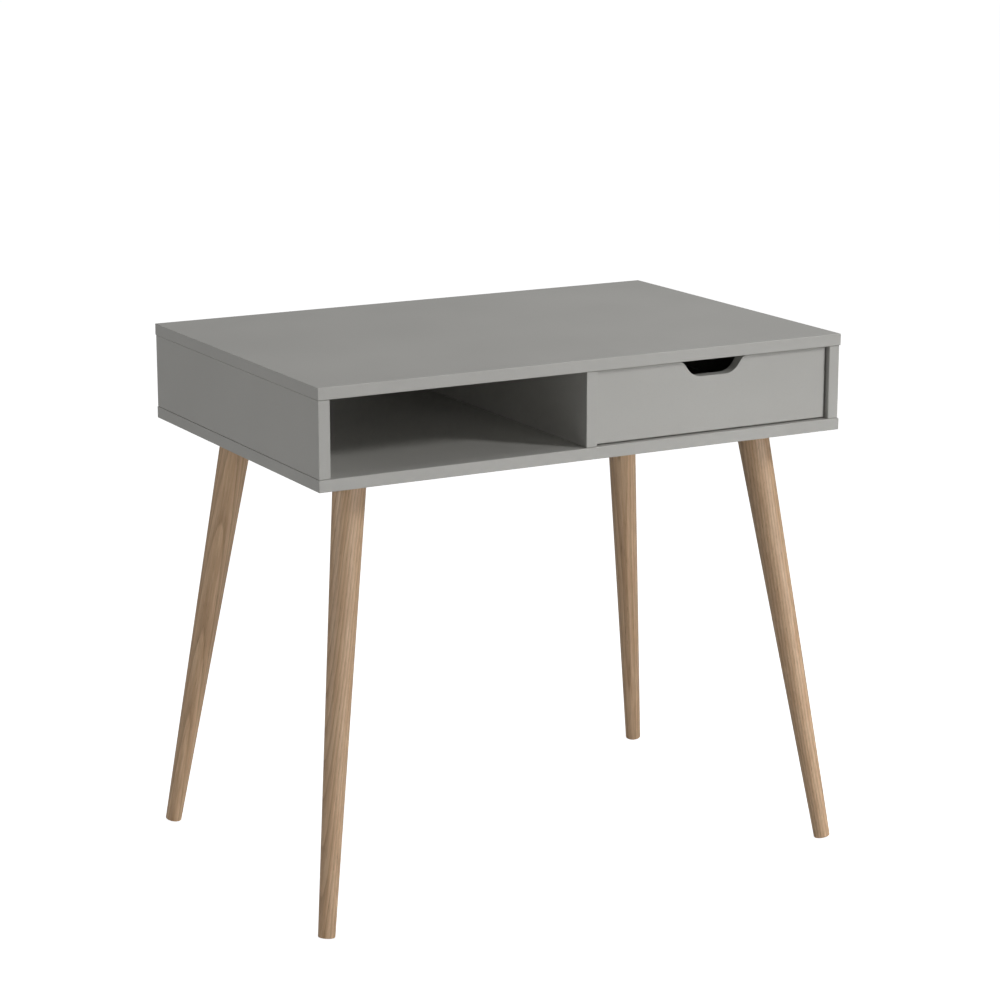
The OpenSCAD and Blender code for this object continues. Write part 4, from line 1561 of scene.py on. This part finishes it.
@dataclass
class Fasteners:
    """The fasteners that show on the boards: floor screws, cam locks and the drawer's back screws."""

    maker: Maker
    finishes: Finishes
    uprights: tuple[tuple[float, int], ...] = ((-0.39675, 1), (0.001, 1), (0.39675, -1))
    screw_ys: tuple[float, float] = (-0.2115, 0.1965)
    under: float = 0.6125
    board: float = 0.0165
    cam_z: float = 0.6995
    drawer_cams: tuple[tuple[float, int], ...] = ((0.03375, 1), (0.364, -1))
    drawer_cam_place: tuple[float, float] = (-0.222, 0.678)
    drawer_faces: tuple[tuple[float, int], ...] = ((0.02175, -1), (0.376, 1))
    back_screw_y: float = 0.198
    back_screw_zs: tuple[float, float] = (0.663, 0.703)

    def cam(self, depth: float) -> tuple[Surface, Surface]:
        """A cam lock whose face is at z = 0 and points along +Z, and its cross recess.

        Args:
            depth: its thickness.

        Returns:
            The lock and the cutting surface.
        """
        shape = turned([(0, -depth), (0.0075, -depth), (0.0075, 0), (0, 0)], [0, 0.0004, 0.0005, 0], 56)
        return shape, recess(cross(0.008, 0.0016), 0, 0.0015)

    def build(self) -> None:
        """Makes each group of fasteners."""
        zinc = self.finishes.by_slot[Slot.ZINC]
        shape, cut = self.cam(0.0124)
        places = [
            facing((x + way * self.board / 2, y, self.cam_z), (way, 0, 0))
            for x, way in self.uprights for y in self.screw_ys
        ]
        self.maker.group("cabinet_cams", shape, cut, places, Body.CABINET, zinc, "cabinet_cam_locks")
        places = [facing((x, y, self.under), (0, 0, -1)) for x, _ in self.uprights for y in self.screw_ys]
        self.maker.group(
            "confirmat_screws", FLOOR_SCREW.surface(), recess(hexagon(0.004), -0.0001, 0.0025), places,
            Body.CABINET, zinc, "floor_screws"
        )
        shape, cut = self.cam(0.0094)
        places = [facing((x, *self.drawer_cam_place), (way, 0, 0)) for x, way in self.drawer_cams]
        self.maker.group("drawer_cams", shape, cut, places, Body.DRAWER, zinc, "drawer_cam_locks")
        places = [
            facing((x, self.back_screw_y, z), (way, 0, 0))
            for x, way in self.drawer_faces for z in self.back_screw_zs
        ]
        self.maker.group(
            "drawer_back_screws_set", BACK_SCREW.surface(), recess(cross(0.004, 0.0009), -0.0001, 0.001),
            places, Body.DRAWER, zinc, "drawer_back_screws"
        )


@dataclass
class Studio:
    """The camera, the lights and the pale floor."""

    camera_place: tuple[float, float, float] = (-1.91972, -3.48672, 1.45586)
    yaw: float = 0.50518
    pitch: float = 0.23575
    focal: float = 2.84501
    sensor: float = 36.0

    def camera(self) -> None:
        """Sets up the camera: it looks yaw right of +Y and pitch below the horizon."""
        data = bpy.data.cameras.new("camera")
        data.sensor_width = self.sensor
        data.lens = self.focal * self.sensor
        data.clip_start, data.clip_end = 0.05, 100.0
        camera = bpy.data.objects.new("camera", data)
        bpy.context.scene.collection.objects.link(camera)
        forward = Vector((
            math.sin(self.yaw) * math.cos(self.pitch), math.cos(self.yaw) * math.cos(self.pitch),
            -math.sin(self.pitch)
        ))
        camera.location = self.camera_place
        camera.rotation_euler = forward.to_track_quat("-Z", "Y").to_euler()
        bpy.context.scene.camera = camera
        bpy.context.view_layer.update()

    def lamp(
        self, name: str, place: tuple[float, float, float], aim: tuple[float, float, float],
        size: tuple[float, float],
        power: float, spread: float = math.pi,
    ) -> None:
        """Adds a soft box light.

        Args:
            name: its name.
            place: where it stands.
            aim: the point that it faces.
            size: its width and height.
            power: its power, in watts.
            spread: the angle that it shines into.
        """
        data = bpy.data.lights.new(name, "AREA")
        data.shape, data.size, data.size_y = "RECTANGLE", *size
        data.energy, data.spread = power, spread
        light = bpy.data.objects.new(name, data)
        light.location = place
        light.rotation_euler = (Vector(aim) - Vector(place)).to_track_quat("-Z", "Y").to_euler()
        light.visible_camera = False
        bpy.context.scene.collection.objects.link(light)

    def world(self) -> None:
        """An even pale surround: white to the eye and softer as a light."""
        world = bpy.data.worlds.new("surround")
        bpy.context.scene.world = world
        world.use_nodes = True
        g = Graph(world.node_tree)
        world.node_tree.nodes.clear()
        seen = g.node("ShaderNodeBackground")
        seen.inputs["Color"].default_value, seen.inputs["Strength"].default_value = (1, 1, 1, 1), 1.0
        lit = g.node("ShaderNodeBackground")
        lit.inputs["Color"].default_value, lit.inputs["Strength"].default_value = (1, 1, 1, 1), 0.11
        mix = g.node("ShaderNodeMixShader")
        g.join(g.node("ShaderNodeLightPath").outputs["Is Camera Ray"], mix.inputs[0])
        g.join(lit.outputs[0], mix.inputs[1])
        g.join(seen.outputs[0], mix.inputs[2])
        g.join(mix.outputs[0], g.node("ShaderNodeOutputWorld").inputs[0])

    def floor(self) -> None:
        """A wide pale floor that glows a little to the eye, and is clear from below."""
        mesh = bpy.data.meshes.new("studio_floor")
        reach = 30.0
        corners = [(-reach, -reach, 0), (reach, -reach, 0), (reach, reach, 0), (-reach, reach, 0)]
        mesh.from_pydata(corners, [], [(0, 1, 2, 3)])
        floor = bpy.data.objects.new("studio_floor", mesh)
        bpy.context.scene.collection.objects.link(floor)
        material = bpy.data.materials.new("studio_floor")
        material.use_nodes = True
        g = Graph(material.node_tree)
        material.node_tree.nodes.clear()
        pale = g.node("ShaderNodeBsdfDiffuse")
        pale.inputs["Color"].default_value = (0.5, 0.5, 0.5, 1)
        glow = g.node("ShaderNodeEmission")
        glow.inputs["Strength"].default_value = 0.96
        dark = g.node("ShaderNodeEmission")
        dark.inputs["Strength"].default_value = 0.0
        path = g.node("ShaderNodeLightPath")
        pick = g.node("ShaderNodeMixShader")
        g.join(path.outputs["Is Camera Ray"], pick.inputs[0])
        g.join(dark.outputs[0], pick.inputs[1])
        g.join(glow.outputs[0], pick.inputs[2])
        both = g.node("ShaderNodeAddShader")
        g.join(pale.outputs[0], both.inputs[0])
        g.join(pick.outputs[0], both.inputs[1])
        clear = g.node("ShaderNodeBsdfTransparent")
        side = g.node("ShaderNodeMixShader")
        g.join(g.node("ShaderNodeNewGeometry").outputs["Backfacing"], side.inputs[0])
        g.join(both.outputs[0], side.inputs[1])
        g.join(clear.outputs[0], side.inputs[2])
        g.join(side.outputs[0], g.node("ShaderNodeOutputMaterial").inputs[0])
        mesh.materials.append(material)

    def build(self) -> None:
        """Sets the stage: plain colours, lights, surround and floor."""
        bpy.context.scene.view_settings.view_transform = "Standard"
        self.world()
        self.floor()
        self.lamp("key_light", (2.3, -2.75, 2.62), (0, 0, 0.68), (0.55, 0.55), 45.0)
        self.lamp("overhead_light", (1.0, 0.3, 3.3), (0.1, 0, 0.7), (2.6, 2.6), 30.5)
        self.lamp("front_light", (-0.9, -4.2, 1.5), (0, 0, 0.65), (1.8, 1.2), 12.0)
        self.lamp("left_light", (-3.3, 0.3, 1.3), (0, 0, 0.65), (1.6, 1.2), 19.6)
        self.lamp("low_light", (0.75, -4.2, 0.9), (0, 0, 0.66), (0.8, 0.6), 24.6)
        self.lamp("foot_light", (1.9, -2.3, 0.5), (-0.1, 0, 0.05), (0.7, 0.5), 0.65, spread=math.radians(30))


def main() -> None:
    """Builds the desk piece by piece, in order."""
    logging.basicConfig(level=logging.INFO, format="%(name)s %(message)s")
    studio = Studio()
    studio.camera()
    maker, finishes = Maker(), Finishes()
    finishes.dress_nodes()
    for assembly in (Cabinet, Legs, Drawer, Runners, Fasteners):
        assembly(maker, finishes).build()
        log.info("%s is built", assembly.__name__)
    studio.build()
    log.info("%d pieces", len(maker.made))


if __name__ == "__main__":
    main()
